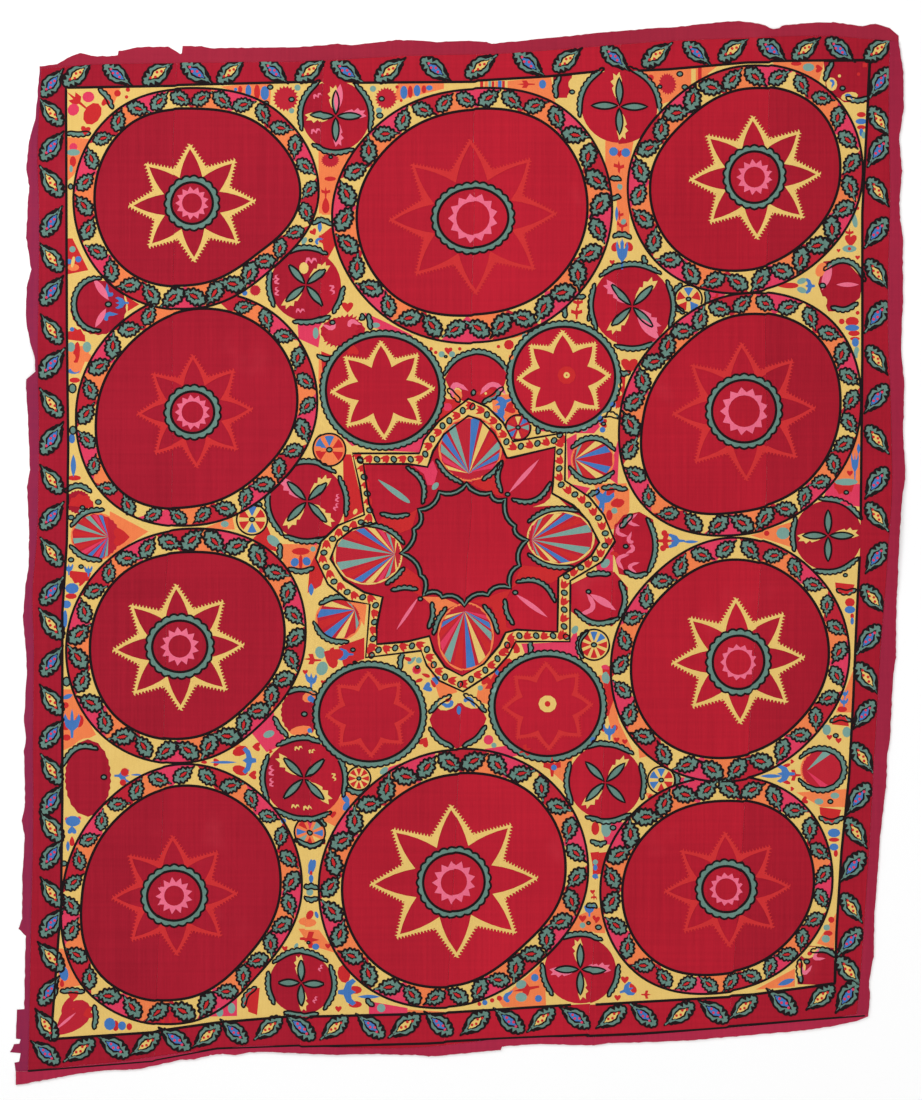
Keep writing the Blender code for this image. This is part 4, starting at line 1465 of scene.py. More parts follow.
# Arches: green bands scalloped outside, with dark edges. Columns: x, y, radius across, radius up, start, end.
ARCHES: tuple[tuple[float, float, float, float, float, float], ...] = (
    (-800, 975, 42, 48, 2, 76), (-834, 985, 66, 68, 246, 294), (-798, 547, 50, 60, 72, 286),
    (-835, 116, 34, 36, 28, 150), (-795, 36, 60, 62, 72, 160), (-795, 36, 62, 54, 200, 282),
    (-820, -485, 52, 64, 56, 168), (-848, -1010, 56, 52, 60, 118), (-838, -1020, 46, 50, -34, 32),
    (41, 382, 72, 64, 8, 172), (41, 385, 68, 62, 202, 238), (41, 385, 64, 58, 282, 338),
    (395, 17, 46, 72, 104, 146), (395, 17, 44, 70, -58, 62), (395, 17, 46, 70, 232, 302),
    (312, -100, 60, 58, 66, 118), (312, -100, 60, 60, -44, 42), (312, -100, 60, 60, 205, 318),
    (297, 204, 54, 52, 22, 152), (297, 204, 54, 52, 195, 332), (-260, -145, 57, 53, 52, 142),
    (-260, -145, 57, 53, 186, 292), (800, -477, 55, 50, -156, 152), (300, -205, 38, 36, 108, 232),
    (-345, -355, 58, 58, 52, 132), (-345, -355, 60, 58, 186, 242), (0, -370, 66, 60, 18, 78),
    (0, -370, 66, 60, 102, 162), (0, -370, 64, 58, 192, 262), (0, -370, 64, 58, 280, 350),
    (847, 588, 50, 58, 8, 146), (847, 588, 46, 58, 236, 318), (855, 1042, 48, 48, 128, 186),
    (880, 1010, 28, 20, 205, 335), (800, -908, 40, 38, 28, 126), (795, -918, 48, 50, 152, 216),
    (-297, 712, 24, 24, 22, 158), (348, 818, 13, 9, 20, 160), (352, 774, 12, 12, 50, 180),
    (362, 690, 20, 16, 8, 172), (398, 640, 18, 18, -40, 60), (243, 1020, 32, 34, 122, 218),
    (366, 404, 14, 12, 196, 344), (334, 286, 24, 22, 30, 140), (345, 128, 40, 20, 44, 136),
    (304, 120, 16, 16, 60, 172), (-322, -748, 18, 20, 30, 150), (-322, -748, 18, 18, 212, 330),
    (310, -628, 18, 16, 196, 344), (295, -786, 14, 14, 30, 150), (448, -500, 40, 38, -36, 36),
    (855, -72, 24, 20, 206, 334), (843, -388, 28, 28, 36, 148), (822, -570, 30, 26, 205, 335),
    (540, 560, 14, 26, -60, 60), (504, 562, 34, 34, 108, 160), (504, 562, 34, 34, 205, 262),
    (-455, 75, 38, 38, 48, 128), (-218, -498, 34, 32, 215, 300), (-437, -990, 36, 34, 98, 200),
    (-325, -612, 38, 36, 20, 70), (-325, -612, 38, 36, 210, 330), (-285, 440, 26, 16, 200, 300),
    (-205, 505, 16, 26, -30, 60), (-385, 0, 10, 22, 120, 230), (-345, -20, 34, 26, 215, 330),
    (265, 535, 34, 34, -50, 40), (265, 535, 34, 32, 60, 120), (265, 535, 34, 34, 150, 215),
    (-210, -1000, 26, 22, 10, 70), (153, -215, 12, 24, -60, 60), (170, 285, 14, 26, -70, 50),
    (-112, -240, 18, 26, 110, 220), (-205, 505, 10, 24, 110, 160),
)


# Motifs of the design


@dataclass
class Star:
    """A band star of eight points with a saw-toothed outer edge."""

    at: Point
    tips: Point
    valley: float
    inner_valley: float
    thread: Thread
    tilt: float = 2.0
    pitch: float = 7.5
    tooth: float = 5.5
    tip_weight: float = 11.0
    bow: float = 0.05

    def rim(self, tips: Point, valley: float) -> Path:
        """The sixteen corners of a star with these tips, its valleys at a share of their reach."""
        path = []
        for corner in range(16):
            angle = math.radians(90 + self.tilt + 22.5 * corner)
            share = valley if corner % 2 else 1.0
            reach = (tips[0] * share * math.cos(angle), tips[1] * share * math.sin(angle))
            path.append((self.at[0] + reach[0], self.at[1] + reach[1]))
        return path

    def saw(self) -> Path:
        """The outer edge, with its teeth."""
        corners = self.rim(self.tips, self.valley)
        path: Path = []
        for (x0, y0), (x1, y1) in zip(corners, [*corners[1:], corners[0]]):
            length = math.hypot(x1 - x0, y1 - y0)
            right, ahead = (y1 - y0) / length, -(x1 - x0) / length
            teeth = max(4, round(length / self.pitch))
            for tooth in range(teeth):
                for shift, out in ((0.0, 0.0), (0.35, self.tooth), (0.55, 0.0)):
                    part = (tooth + shift) / teeth
                    path.append((x0 + (x1 - x0) * part + right * out, y0 + (y1 - y0) * part + ahead * out))
        return path

    def petals(self) -> Path:
        """The inner edge, with full petals."""
        tips = (self.tips[0] - self.tip_weight, self.tips[1] - self.tip_weight)
        corners = self.rim(tips, self.inner_valley * self.tips[0] / tips[0])
        path: Path = []
        for (x0, y0), (x1, y1) in zip(corners, [*corners[1:], corners[0]]):
            for part in (0.0, 0.25, 0.5, 0.75):
                out = 4 * self.bow * part * (1 - part)
                right, ahead = x1 - x0, y1 - y0
                path.append((x0 + right * part + out * ahead, y0 + ahead * part - out * right))
        return path

    def draw(self, work: Needlework) -> None:
        """Lays the star's band."""
        work.patch(self.thread, self.saw())
        work.patch(Thread.BARE, self.petals())


@dataclass
class GreenRing:
    """A round of green chain stitch with scallops outside and dark lines on both edges."""

    at: Point
    radii: Point
    band: float = 12.0
    pitch: float = 19.0
    depth: float = 4.0
    filled: Thread | None = Thread.BARE
    group: str = "rounds"

    def draw(self, work: Needlework) -> None:
        """Lays the ring and couches its two lines."""
        rim = placed(ellipse(2 * self.radii[0], 2 * self.radii[1], 48), self.at)
        scallops = scalloped(rim, self.pitch, self.depth, True)
        work.cover(scallops)
        work.patch(Thread.GREEN, offset(scallops, 1.0, True))
        work.line(self.group, scallops, True, 5.2, keep_points=True)
        inner = offset(rim, -self.band, True)
        if self.filled:
            work.patch(self.filled, inner)
        work.line(self.group, inner, True, 6.0)


@dataclass
class Sun:
    """A small ring of pink rays."""

    at: Point
    outer: float
    inner: float
    rays: int = 13
    thread: Thread = Thread.ROSE

    def draw(self, work: Needlework) -> None:
        """Lays the ring and bares its middle."""
        base = self.inner + 0.38 * (self.outer - self.inner)
        work.patch(self.thread, placed(toothed(base, self.outer, self.rays), self.at))
        work.patch(Thread.BARE, placed(ellipse(2 * self.inner), self.at))


@dataclass
class Medallion:
    """A large round field with a star, inside a band of coloured cells and leaves.

    inner and outer hold the radii of the band's two lines in eight directions, from the right and
    turning left, in millimetres.
    """

    number: int
    at: Point
    inner: Sequence[float]
    outer: Sequence[float]
    leaves: int
    first_leaf: float
    star: Star
    ring: GreenRing
    sun: Sun
    first_colour: int = 0
    tilt: float = 36.0
    covers: list[Path] = field(default_factory=list)

    def rim(self, share: float, angle: float) -> Point:
        """A point of the band, from its inner line at 0 to its outer line at 1, at an angle in degrees."""
        turn = (angle / 360) % 1.0
        reach = through(self.inner, turn) * (1 - share) + through(self.outer, turn) * share
        way = math.radians(angle)
        return self.at[0] + reach * math.cos(way), self.at[1] + reach * math.sin(way)

    def draw(self, work: Needlework) -> None:
        """Lays the cells of the band and what is inside it."""
        step = 360 / self.leaves
        work.cover(around(self.at, self.outer))
        for cell in range(self.leaves):
            start = self.first_leaf + (cell - 0.5) * step
            outside = cell % 2 == 0
            foot = 1.0 if outside else 0.0
            base = [self.rim(foot, start - step + 2 * step * part / 6) for part in range(7)]
            apex = self.rim(1.0 - foot, start)
            pair = (Thread.CRIMSON, Thread.PINK) if outside else (Thread.YELLOW, Thread.ORANGE)
            work.patch(pair[(cell // 2 + self.first_colour) % 2], [*base, apex])
        work.patch(Thread.BARE, around(self.at, self.inner))
        work.line("bands", around(self.at, self.outer), True, 6.6)
        work.line("bands", around(self.at, self.inner), True, 6.6)
        self.star.draw(work)
        self.ring.draw(work)
        self.sun.draw(work)

    def leaf_places(self, chance: random.Random) -> list[tuple[float, float, float, float]]:
        """Where the leaves of the band go: x, y, turn and scale."""
        places = []
        step = 360 / self.leaves
        for leaf in range(self.leaves):
            angle = self.first_leaf + leaf * step
            x, y = self.rim(0.5, angle)
            if any(inside(cover, np.array([[x, y]]))[0] for cover in self.covers):
                continue
            ahead, behind = self.rim(0.5, angle - 2), self.rim(0.5, angle + 2)
            tangent = math.degrees(math.atan2(ahead[1] - behind[1], ahead[0] - behind[0]))
            inner, outer = self.rim(0.0, angle), self.rim(1.0, angle)
            room = math.hypot(outer[0] - inner[0], outer[1] - inner[1])
            lean = self.tilt if leaf % 2 else -self.tilt
            scale = min(1.12, max(0.86, room / 47)) * chance.uniform(0.94, 1.06)
            places.append((x, y, tangent + lean + chance.uniform(-6, 6), scale))
        return places


def medallions() -> list[Medallion]:
    """The ten large medallions, from the measured sizes of each."""
    rows = (
        # number, x, y, inner radii, outer radii, leaves, first leaf, first colour
        (1, -571, 781, (225, 212, 195, 222, 228, 224, 192, 180),
         (265, 258, 240, 264, 274, 270, 244, 226), 30, 4, 0),
        (2, 32, 750, (254, 254, 226, 232, 254, 252, 227, 238),
         (308, 304, 271, 282, 308, 300, 288, 294), 32, 3, 1),
        (3, 635, 823, (206, 220, 200, 186, 211, 220, 200, 190),
         (256, 265, 250, 238, 260, 268, 250, 241), 28, 8, 0),
        (4, -569, 314, (216, 228, 222, 211, 225, 248, 212, 195),
         (260, 268, 260, 258, 270, 280, 254, 240), 28, 2, 1),
        (5, 626, 310, (216, 233, 216, 195, 216, 256, 218, 211),
         (261, 280, 262, 245, 268, 298, 268, 253), 30, 6, 0),
        (6, -589, -209, (207, 225, 210, 221, 220, 222, 200, 180),
         (253, 276, 261, 264, 272, 272, 253, 230), 30, 5, 0),
        (7, 602, -231, (215, 220, 218, 206, 220, 235, 218, 205),
         (260, 262, 266, 250, 264, 281, 270, 251), 28, 3, 1),
        (8, -604, -750, (214, 233, 237, 220, 222, 254, 233, 199),
         (261, 274, 284, 262, 266, 300, 286, 243), 30, 6, 1),
        (9, -8, -724, (244, 259, 238, 225, 246, 250, 229, 207),
         (294, 306, 292, 281, 297, 301, 274, 258), 32, 2, 0),
        (10, 575, -737, (209, 214, 193, 199, 213, 214, 189, 190),
         (249, 261, 246, 251, 261, 260, 230, 230), 28, 7, 1),
    )
    inside_rows = (
        # star x, y, tips x, y, valley, inner valley, thread; ring x, y, radii x, y, band; sun outer, inner
        (-584, 768, 140, 130, 0.64, 0.47, Thread.YELLOW, -584, 768, 57, 57, 11, 37, 22),
        (34, 739, 185, 172, 0.64, 0.49, Thread.FADED, 34, 737, 88, 76, 10, 55, 37),
        (654, 827, 145, 136, 0.64, 0.48, Thread.YELLOW, 653, 828, 65, 67, 10, 40, 23),
        (-578, 310, 128, 125, 0.64, 0.48, Thread.FADED, -583, 308, 59, 57, 11, 39, 24),
        (630, 312, 158, 152, 0.64, 0.48, Thread.FADED, 630, 313, 81, 79, 10, 53, 35),
        (-614, -209, 145, 139, 0.64, 0.48, Thread.YELLOW, -611, -207, 72, 68, 11, 43, 25),
        (617, -236, 147, 139, 0.64, 0.47, Thread.YELLOW, 618, -239, 68, 70, 11, 40, 28),
        (-622, -755, 139, 132, 0.64, 0.48, Thread.FADED, -623, -755, 70, 65, 10, 41, 22),
        (-8, -722, 185, 169, 0.64, 0.49, Thread.YELLOW, -8, -724, 78, 75, 10, 48, 29),
        (593, -739, 139, 127, 0.64, 0.48, Thread.FADED, 591, -738, 64, 62, 11, 37, 24),
    )
    made = []
    for band, middle in zip(rows, inside_rows):
        number, x, y, inner, outer, leaves, first, shade = band
        star_x, star_y, tip_x, tip_y, valley, weight, thread, *around_it = middle
        ring_x, ring_y, wide, high, width, far, near = around_it
        star = Star((star_x, star_y), (tip_x, tip_y), valley, weight, thread)
        ring = GreenRing((ring_x, ring_y), (wide, high), width)
        sun = Sun((ring_x, ring_y), far, near)
        made.append(Medallion(number, (x, y), inner, outer, leaves, first, star, ring, sun, shade))
    made[3].covers.append(around(made[0].at, made[0].outer))
    made[9].covers.append(around(made[6].at, made[6].outer))
    return made


@dataclass
class Border:
    """The border's leaves along one side, leaning to and fro as they travel round the cloth.

    line holds places on the leaves' line, middles the leaves' places along it, and way the direction of
    travel in degrees. With first_out the first leaf leans to the left of the way, which is outwards.
    """

    name: str
    way: float
    line: Sequence[Point]
    middles: Sequence[float]
    first_out: bool
    outer_warm: bool = True
    tilt: float = 37.0

    def leaf_places(self, chance: random.Random) -> dict[Thread, list[tuple[float, float, float, float]]]:
        """The places of the leaves with a warm and with a cool filling."""
        sorts: dict[Thread, list] = {Thread.YELLOW: [], Thread.BLUE: []}
        upright = abs(math.sin(math.radians(self.way))) > 0.5
        line = sorted(self.line, key=lambda place: place[upright])
        for number, middle in enumerate(self.middles):
            beside = float(np.interp(middle, [p[upright] for p in line], [p[not upright] for p in line]))
            x, y = (beside, middle) if upright else (middle, beside)
            out = (number % 2 == 0) == self.first_out
            turn = self.way + (self.tilt if out else -self.tilt) + chance.uniform(-4, 4)
            warm = Thread.YELLOW if out == self.outer_warm else Thread.BLUE
            sorts[warm].append((x, y, turn, chance.uniform(0.94, 1.04)))
        return sorts


def borders() -> list[Border]:
    """The border's four sides, with the middles of the leaves in millimetres."""
    return [
        Border(
            "left", 90.0, ((-893, 1060), (-893, -880), (-905, -1050)),
            (1032, 968, 893, 815, 727, 648, 575, 490, 415, 328, 250, 160, 80, 0, -85, -158, -240, -325, -400,
             -478, -545, -605, -665, -748, -815, -890, -965, -1040), False,
        ),
        Border(
            "top", 0.0, ((-840, 1052), (-150, 1062), (50, 1070), (437, 1096), (605, 1108), (930, 1106)),
            (-838, -750, -660, -575, -500, -405, -325, -245, -150, -50, 50, 155, 240, 345, 437, 525, 605, 690,
             765, 840, 925), True,
        ),
        Border(
            "right", 270.0,
            ((930, 1040), (922, 700), (922, 0), (905, -190), (890, -450), (870, -690), (858, -980)),
            (1035, 950, 885, 795, 705, 615, 520, 425, 340, 250, 155, 80, -10, -100, -190, -275, -355, -450,
             -540, -615, -690, -780, -855, -920, -975), False,
        ),
        Border(
            "bottom", 180.0,
            ((800, -978), (565, -1008), (40, -1034), (-420, -1046), (-685, -1080), (-925, -1102)),
            (800, 715, 630, 565, 490, 410, 340, 260, 185, 115, 40, -40, -115, -190, -270, -345, -415, -490,
             -550, -620, -685, -755, -830, -905), True,
        ),
    ]


@dataclass
class Rosette:
    """A round with four green petals, some with a pale halo, between arcs of green."""

    at: Point
    radii: Point
    turn: float
    halos: str
    arcs: Sequence[Point]

    def draw(self, work: Needlework) -> None:
        """Lays the round, its arcs and its petals."""
        wide, high = self.radii
        rim = placed(ellipse(2 * wide + 4, 2 * high + 4, 36), self.at)
        work.cover(placed(ellipse(2 * wide + 14, 2 * high + 14, 36), self.at))
        work.patch(Thread.BARE, rim)
        for start, end in self.arcs:
            Arch(self.at, (wide + 9, high + 9), start, end, group="rosettes").draw(work)
        for number, halo in enumerate(self.halos):
            turn = self.turn + 90 * number
            foot = placed([(4.0, 0.0)], self.at, turn)[0]
            if halo in STITCH_LETTERS:
                leaf = [
                    (0, 0), (20, 10), (36, 14), (40, 9), (50, 16), (55, 9), (68, 9), (62, 2), (70, -5),
                    (55, -9), (40, -9), (18, -9),
                ]
                work.patch(STITCH_LETTERS[halo], placed(leaf, foot, turn + 4, min(wide, high) / 80))
            petal = placed(almond(0.72 * min(wide, high), 15, 9, 0.8), foot, turn)
            work.patch(Thread.GREEN, petal)
            work.line("rosettes", petal, True, 4.8)


def rosettes() -> list[Rosette]:
    """The ten rosettes, each with the letters of its halos from its first petal, turning left."""
    rows = (
        # x, y, radius across and up, turn, halos, arcs
        (-268, 962, 73, 75, 0, "LYYL", ((115, 205), (-25, 60), (230, 300))),
        (356, 983, 82, 80, 0, "-Y-Y", ((112, 197), (-10, 78))),
        (-334, 588, 76, 77, 40, "Y-Y-", ((55, 130), (155, 215), (-45, 0), (250, 310))),
        (384, 544, 86, 88, 45, "YLYL", ((47, 140), (150, 215), (-30, 37), (245, 305))),
        (-331, 112, 82, 83, 45, "YLYY", ((45, 130), (150, 235), (-20, 40), (235, 305))),
        (815, 37, 73, 75, 0, "Y-Y-", ((25, 105), (150, 205), (245, 325))),
        (-338, -497, 86, 84, 45, "-Y-Y", ((60, 130), (145, 215), (-25, 40), (225, 310))),
        (325, -504, 80, 80, 45, "Y-Y-", ((45, 125), (150, 215), (240, 310), (-25, 30))),
        (-344, -947, 68, 66, 0, "-Y-Y", ((40, 145), (-50, 35), (160, 220), (240, 300))),
        (270, -917, 77, 73, 0, "LYLY", ((55, 125), (170, 225), (-45, 10))),
    )
    return [Rosette((x, y), (wide, high), turn, halos, arcs) for x, y, wide, high, turn, halos, arcs in rows]


STITCH_LETTERS = {
    "Y": Thread.YELLOW, "O": Thread.ORANGE, "R": Thread.RED, "C": Thread.CRIMSON, "P": Thread.PINK,
    "L": Thread.ROSE, "B": Thread.BLUE, "T": Thread.TEAL,
}


@dataclass
class Arch:
    """A green band along part of a round, scalloped outside, with a dark line all round it."""

    at: Point
    radii: Point
    start: float
    end: float
    band: float = 9.0
    pitch: float = 12.0
    depth: float = 2.6
    group: str = "arches"

    def draw(self, work: Needlework) -> None:
        """Lays the band, which narrows to its two ends."""
        middle = arc(self.at, self.radii[0], self.start, self.end, self.radii[1] / self.radii[0], 22)
        outer = scalloped(middle, self.pitch, self.depth, False)
        shares = spread(-1.0, 1.0, 13)
        inner = resampled(middle, lengths(middle, False)[-1] / 12, False)[:13]
        widths = [-self.band * (1 - 0.8 * share**6) for share in shares[: len(inner)]]
        band = outer + offset(inner, widths, False)[::-1]
        work.patch(Thread.GREEN, band)
        work.line(self.group, band, True, 4.8, keep_points=True)


@dataclass
class Fan:
    """Stripes of silk that spread from a focus to a toothed rim."""

    at: Point
    size: Point
    focus: Point
    start: float
    end: float
    stripes: str
    rim: Thread = Thread.ORANGE
    base: Thread = Thread.CRIMSON
    share: float = 0.7
    teeth: int = 22
    edge: float = 5.0

    def draw(self, work: Needlework) -> None:
        """Lays the rim and the red inside it, then each stripe that spreads from the focus."""
        work.patch(self.rim, placed(ellipse(self.size[0], self.size[1], 32), self.at))
        round_about = enumerate(spread(0.0, 360.0, 2 * self.teeth + 1)[:-1])
        inside_rim = [self.reached(angle, self.edge - 2.5 * (place % 2)) for place, angle in round_about]
        work.patch(self.base, inside_rim)
        step = (self.end - self.start) / max(len(self.stripes), 1)
        for number, letter in enumerate(self.stripes):
            middle = self.start + (number + 0.5) * step
            ends = [self.reached(middle + part * self.share * step, self.edge) for part in (-0.5, 0.0, 0.5)]
            work.patch(STITCH_LETTERS[letter], [self.focus, *ends])

    def reached(self, angle: float, short: float) -> Point:
        """Where a line from the focus stops, a little short of the rim."""
        cos, sin = math.cos(math.radians(angle)), math.sin(math.radians(angle))
        half = (0.5 * self.size[0] - short, 0.5 * self.size[1] - short)
        away = ((self.focus[0] - self.at[0]) / half[0], (self.focus[1] - self.at[1]) / half[1])
        way = (cos / half[0], sin / half[1])
        square = way[0] ** 2 + way[1] ** 2
        along = away[0] * way[0] + away[1] * way[1]
        rest = along**2 - square * (away[0] ** 2 + away[1] ** 2 - 1)
        reach = (-along + math.sqrt(max(rest, 0.0))) / square
        return self.focus[0] + reach * cos, self.focus[1] + reach * sin


@dataclass
class Wheel:
    """A small round flower of petals about a green knot."""

    at: Point
    radius: float
    petals: str
    base: Thread
    first: float = 90.0

    def draw(self, work: Needlework) -> None:
        """Lays the round and its petals."""
        rim = placed(ellipse(2 * self.radius, None, 28), self.at)
        work.cover(rim)
        work.patch(self.base, rim)
        work.line("wheels", rim, True, 5.0)
        step = 360 / len(self.petals)
        for number, letter in enumerate(self.petals):
            turn = self.first - number * step
            petal = [*sector(0.86 * self.radius, -0.34 * step, 0.34 * step)[:4], (0.2 * self.radius, 0.0)]
            work.patch(STITCH_LETTERS[letter], placed(petal, self.at, turn))
        knot(work, self.at, 0.34 * self.radius)


def knot(work: Needlework, at: Point, length: float, turn: float = 0.0) -> None:
    """A green knot with a dark line round it."""
    path = placed(ellipse(length, 0.8 * length, 10), at, turn)
    work.patch(Thread.GREEN, path)
    work.line("knots", path, True, 4.2, keep_points=True)


@dataclass
class CentreStar:
    """The eight-pointed yellow band in the middle, with its knots, its four fans and its bare disc."""

    middle: Point = (18, 22)
    outer: Sequence[Point] = (
        (24, 340), (66, 320), (100, 286), (122, 244), (238, 264), (236, 158), (290, 122), (322, 82),
        (346, 26), (318, -20), (248, -62), (247, -196), (128, -196), (112, -226), (80, -262), (12, -306),
        (-40, -280), (-68, -246), (-80, -214), (-202, -229), (-193, -112), (-240, -104), (-285, -68),
        (-312, -12), (-300, 26), (-262, 62), (-205, 85), (-215, 150), (-231, 220), (-84, 220), (-74, 250),
        (-42, 290),
    )
    inner: Sequence[Point] = (
        (24, 303), (50, 292), (80, 262), (98, 232), (108, 208), (118, 209), (215, 232), (210, 150),
        (208, 130), (255, 104), (288, 68), (312, 22), (294, -8), (255, -34), (222, -55), (220, -175),
        (130, -170), (106, -176), (92, -205), (58, -245), (10, -271), (-28, -250), (-52, -215), (-62, -182),
        (-110, -194), (-178, -200), (-178, -160), (-165, -96), (-205, -86), (-250, -58), (-280, -12),
        (-264, 28), (-230, 54), (-178, 66), (-195, 110), (-207, 197), (-110, 197), (-66, 190), (-54, 225),
        (-30, 262),
    )
    cusps: Sequence[Point] = (
        (20, 157), (75, 135), (108, 120), (130, 60), (158, 28), (140, -30), (118, -80), (68, -97),
        (15, -118), (-35, -100), (-78, -95), (-85, -50), (-128, 0), (-100, 55), (-88, 98), (-42, 138),
    )
    bulge: float = 11.0
    chain: float = 8.0
    knot_pitch: float = 37.0
    # the small cells between the compartments
    gaps: Sequence[tuple[Thread, Path]] = (
        (Thread.PINK, [(-104, 197), (-66, 190), (-54, 205), (-44, 180), (-52, 150), (-66, 150), (-74, 175)]),
        (Thread.RED, [(100, 214), (112, 211), (90, 180), (90, 150), (102, 122), (75, 130), (30, 150),
            (80, 190)]),
        (Thread.YELLOW, [(207, 134), (204, 120), (190, 108), (166, 100), (200, 103), (240, 103)]),
        (Thread.RED, [(222, -58), (238, -36), (180, -32), (140, -28), (118, -80), (150, -56), (205, -68)]),
        (Thread.RED, [(95, -180), (76, -120), (30, -108), (68, -97), (118, -80), (102, -112),
            (108, -165), (130, -172)]),
        (Thread.ORANGE, [(-56, -182), (-50, -165), (-50, -120), (-78, -95), (-35, -96), (0, -112),
            (-40, -130), (-44, -170)]),
        (Thread.RED, [(-150, -78), (-140, -76), (-118, -74), (-78, -95), (-85, -50), (-115, -30),
            (-140, -66)]),
        (Thread.RED, [(-178, 62), (-166, 80), (-130, 74), (-88, 98), (-100, 55), (-125, 45), (-160, 62)]),
    )
    # x, y, width, height, focus x, y, first and last direction, stripes
    fans: Sequence[tuple] = (
        (28, 229, 140, 142, 25, 176, 172, 8, "YPTBTCBYRTBP"),
        (227, 32, 150, 118, 163, 28, 84, -84, "PTRYBRTCTRBYRTP"),
        (18, -184, 124, 150, 15, -128, 190, 350, "YBRPTRBYRTBP"),
        (-197, -4, 152, 130, -138, -2, 78, 282, "YRTPYBRTCTRBYPTRY"),
    )
    # x, y, radius across and up, start, end of the green arcs
    arcs: Sequence[tuple[float, float, float, float, float, float]] = (
        (-136, 136, 66, 58, -28, 70), (-136, 136, 62, 58, 236, 300), (150, 166, 65, 60, 142, 216),
        (150, 166, 56, 58, 236, 350), (158, -115, 57, 58, 5, 122), (158, -115, 56, 56, 166, 232),
        (-115, -130, 60, 58, 62, 122), (-115, -130, 64, 58, -38, 24), (28, 228, 78, 76, 196, 258),
        (28, 228, 76, 74, 290, 338), (227, 32, 84, 68, 60, 150), (227, 32, 84, 68, 210, 290),
        (18, -182, 72, 80, 126, 178), (18, -182, 72, 80, 2, 58), (-196, -4, 84, 70, 20, 100),
        (-196, -4, 86, 72, 296, 338),
    )

    def draw(self, work: Needlework) -> None:
        """Lays the band, then what it holds, then the disc with its chain."""
        outer = turning_left(list(self.outer))
        work.cover(outer)
        work.patch(Thread.YELLOW, outer)
        work.line("centre", outer, True, 6.2, keep_points=True)
        work.patch(Thread.BARE, list(self.inner))
        for thread, cell in self.gaps:
            work.patch(thread, cell)
        for x, y, wide, high, near, level, start, end, stripes in self.fans:
            rim = Thread.YELLOW if wide > high else Thread.ORANGE
            Fan((x, y), (wide, high), (near, level), start, end, stripes, rim).draw(work)
        for x, y, across, up, start, end in self.arcs:
            Arch((x, y), (across, up), start, end, 8.0, group="centre").draw(work)
        work.line("centre", list(self.inner), True, 6.2, keep_points=True)
        self.beads(work, outer)
        self.disc(work)

    def beads(self, work: Needlework, outer: Path) -> None:
        """Knots along the band, with a red sprig between each two."""
        middle = offset(resampled(outer, 4.0, True), -13.0, True)
        for number, (x, y) in enumerate(resampled(middle, self.knot_pitch / 2, True)):
            away = math.degrees(math.atan2(y - self.middle[1], x - self.middle[0]))
            if number % 2:
                work.patch(Thread.RED, placed(SHAPES[Shape.CROWN], (x, y), away + 90, 20.0))
            else:
                knot(work, (x, y), 14.0, away)

    def disc(self, work: Needlework) -> None:
        """The bare disc, edged by arcs of green chain that bulge inwards."""
        rim: Path = []
        for (x0, y0), (x1, y1) in zip(self.cusps, [*self.cusps[1:], self.cusps[0]]):
            for part in (0.0, 0.2, 0.4, 0.6, 0.8):
                x, y = x0 + (x1 - x0) * part, y0 + (y1 - y0) * part
                away = math.hypot(x - self.middle[0], y - self.middle[1])
                shrink = 1 - 4 * part * (1 - part) * self.bulge / away
                right, ahead = x - self.middle[0], y - self.middle[1]
                rim.append((self.middle[0] + right * shrink, self.middle[1] + ahead * shrink))
        rim = turning_left(rim)
        inner = offset(rim, -self.chain, True)
        work.cover(rim)
        work.patch(Thread.GREEN, rim)
        work.line("centre", rim, True, 5.4, keep_points=True)
        work.patch(Thread.BARE, inner)
        work.line("centre", inner, True, 5.4, keep_points=True)


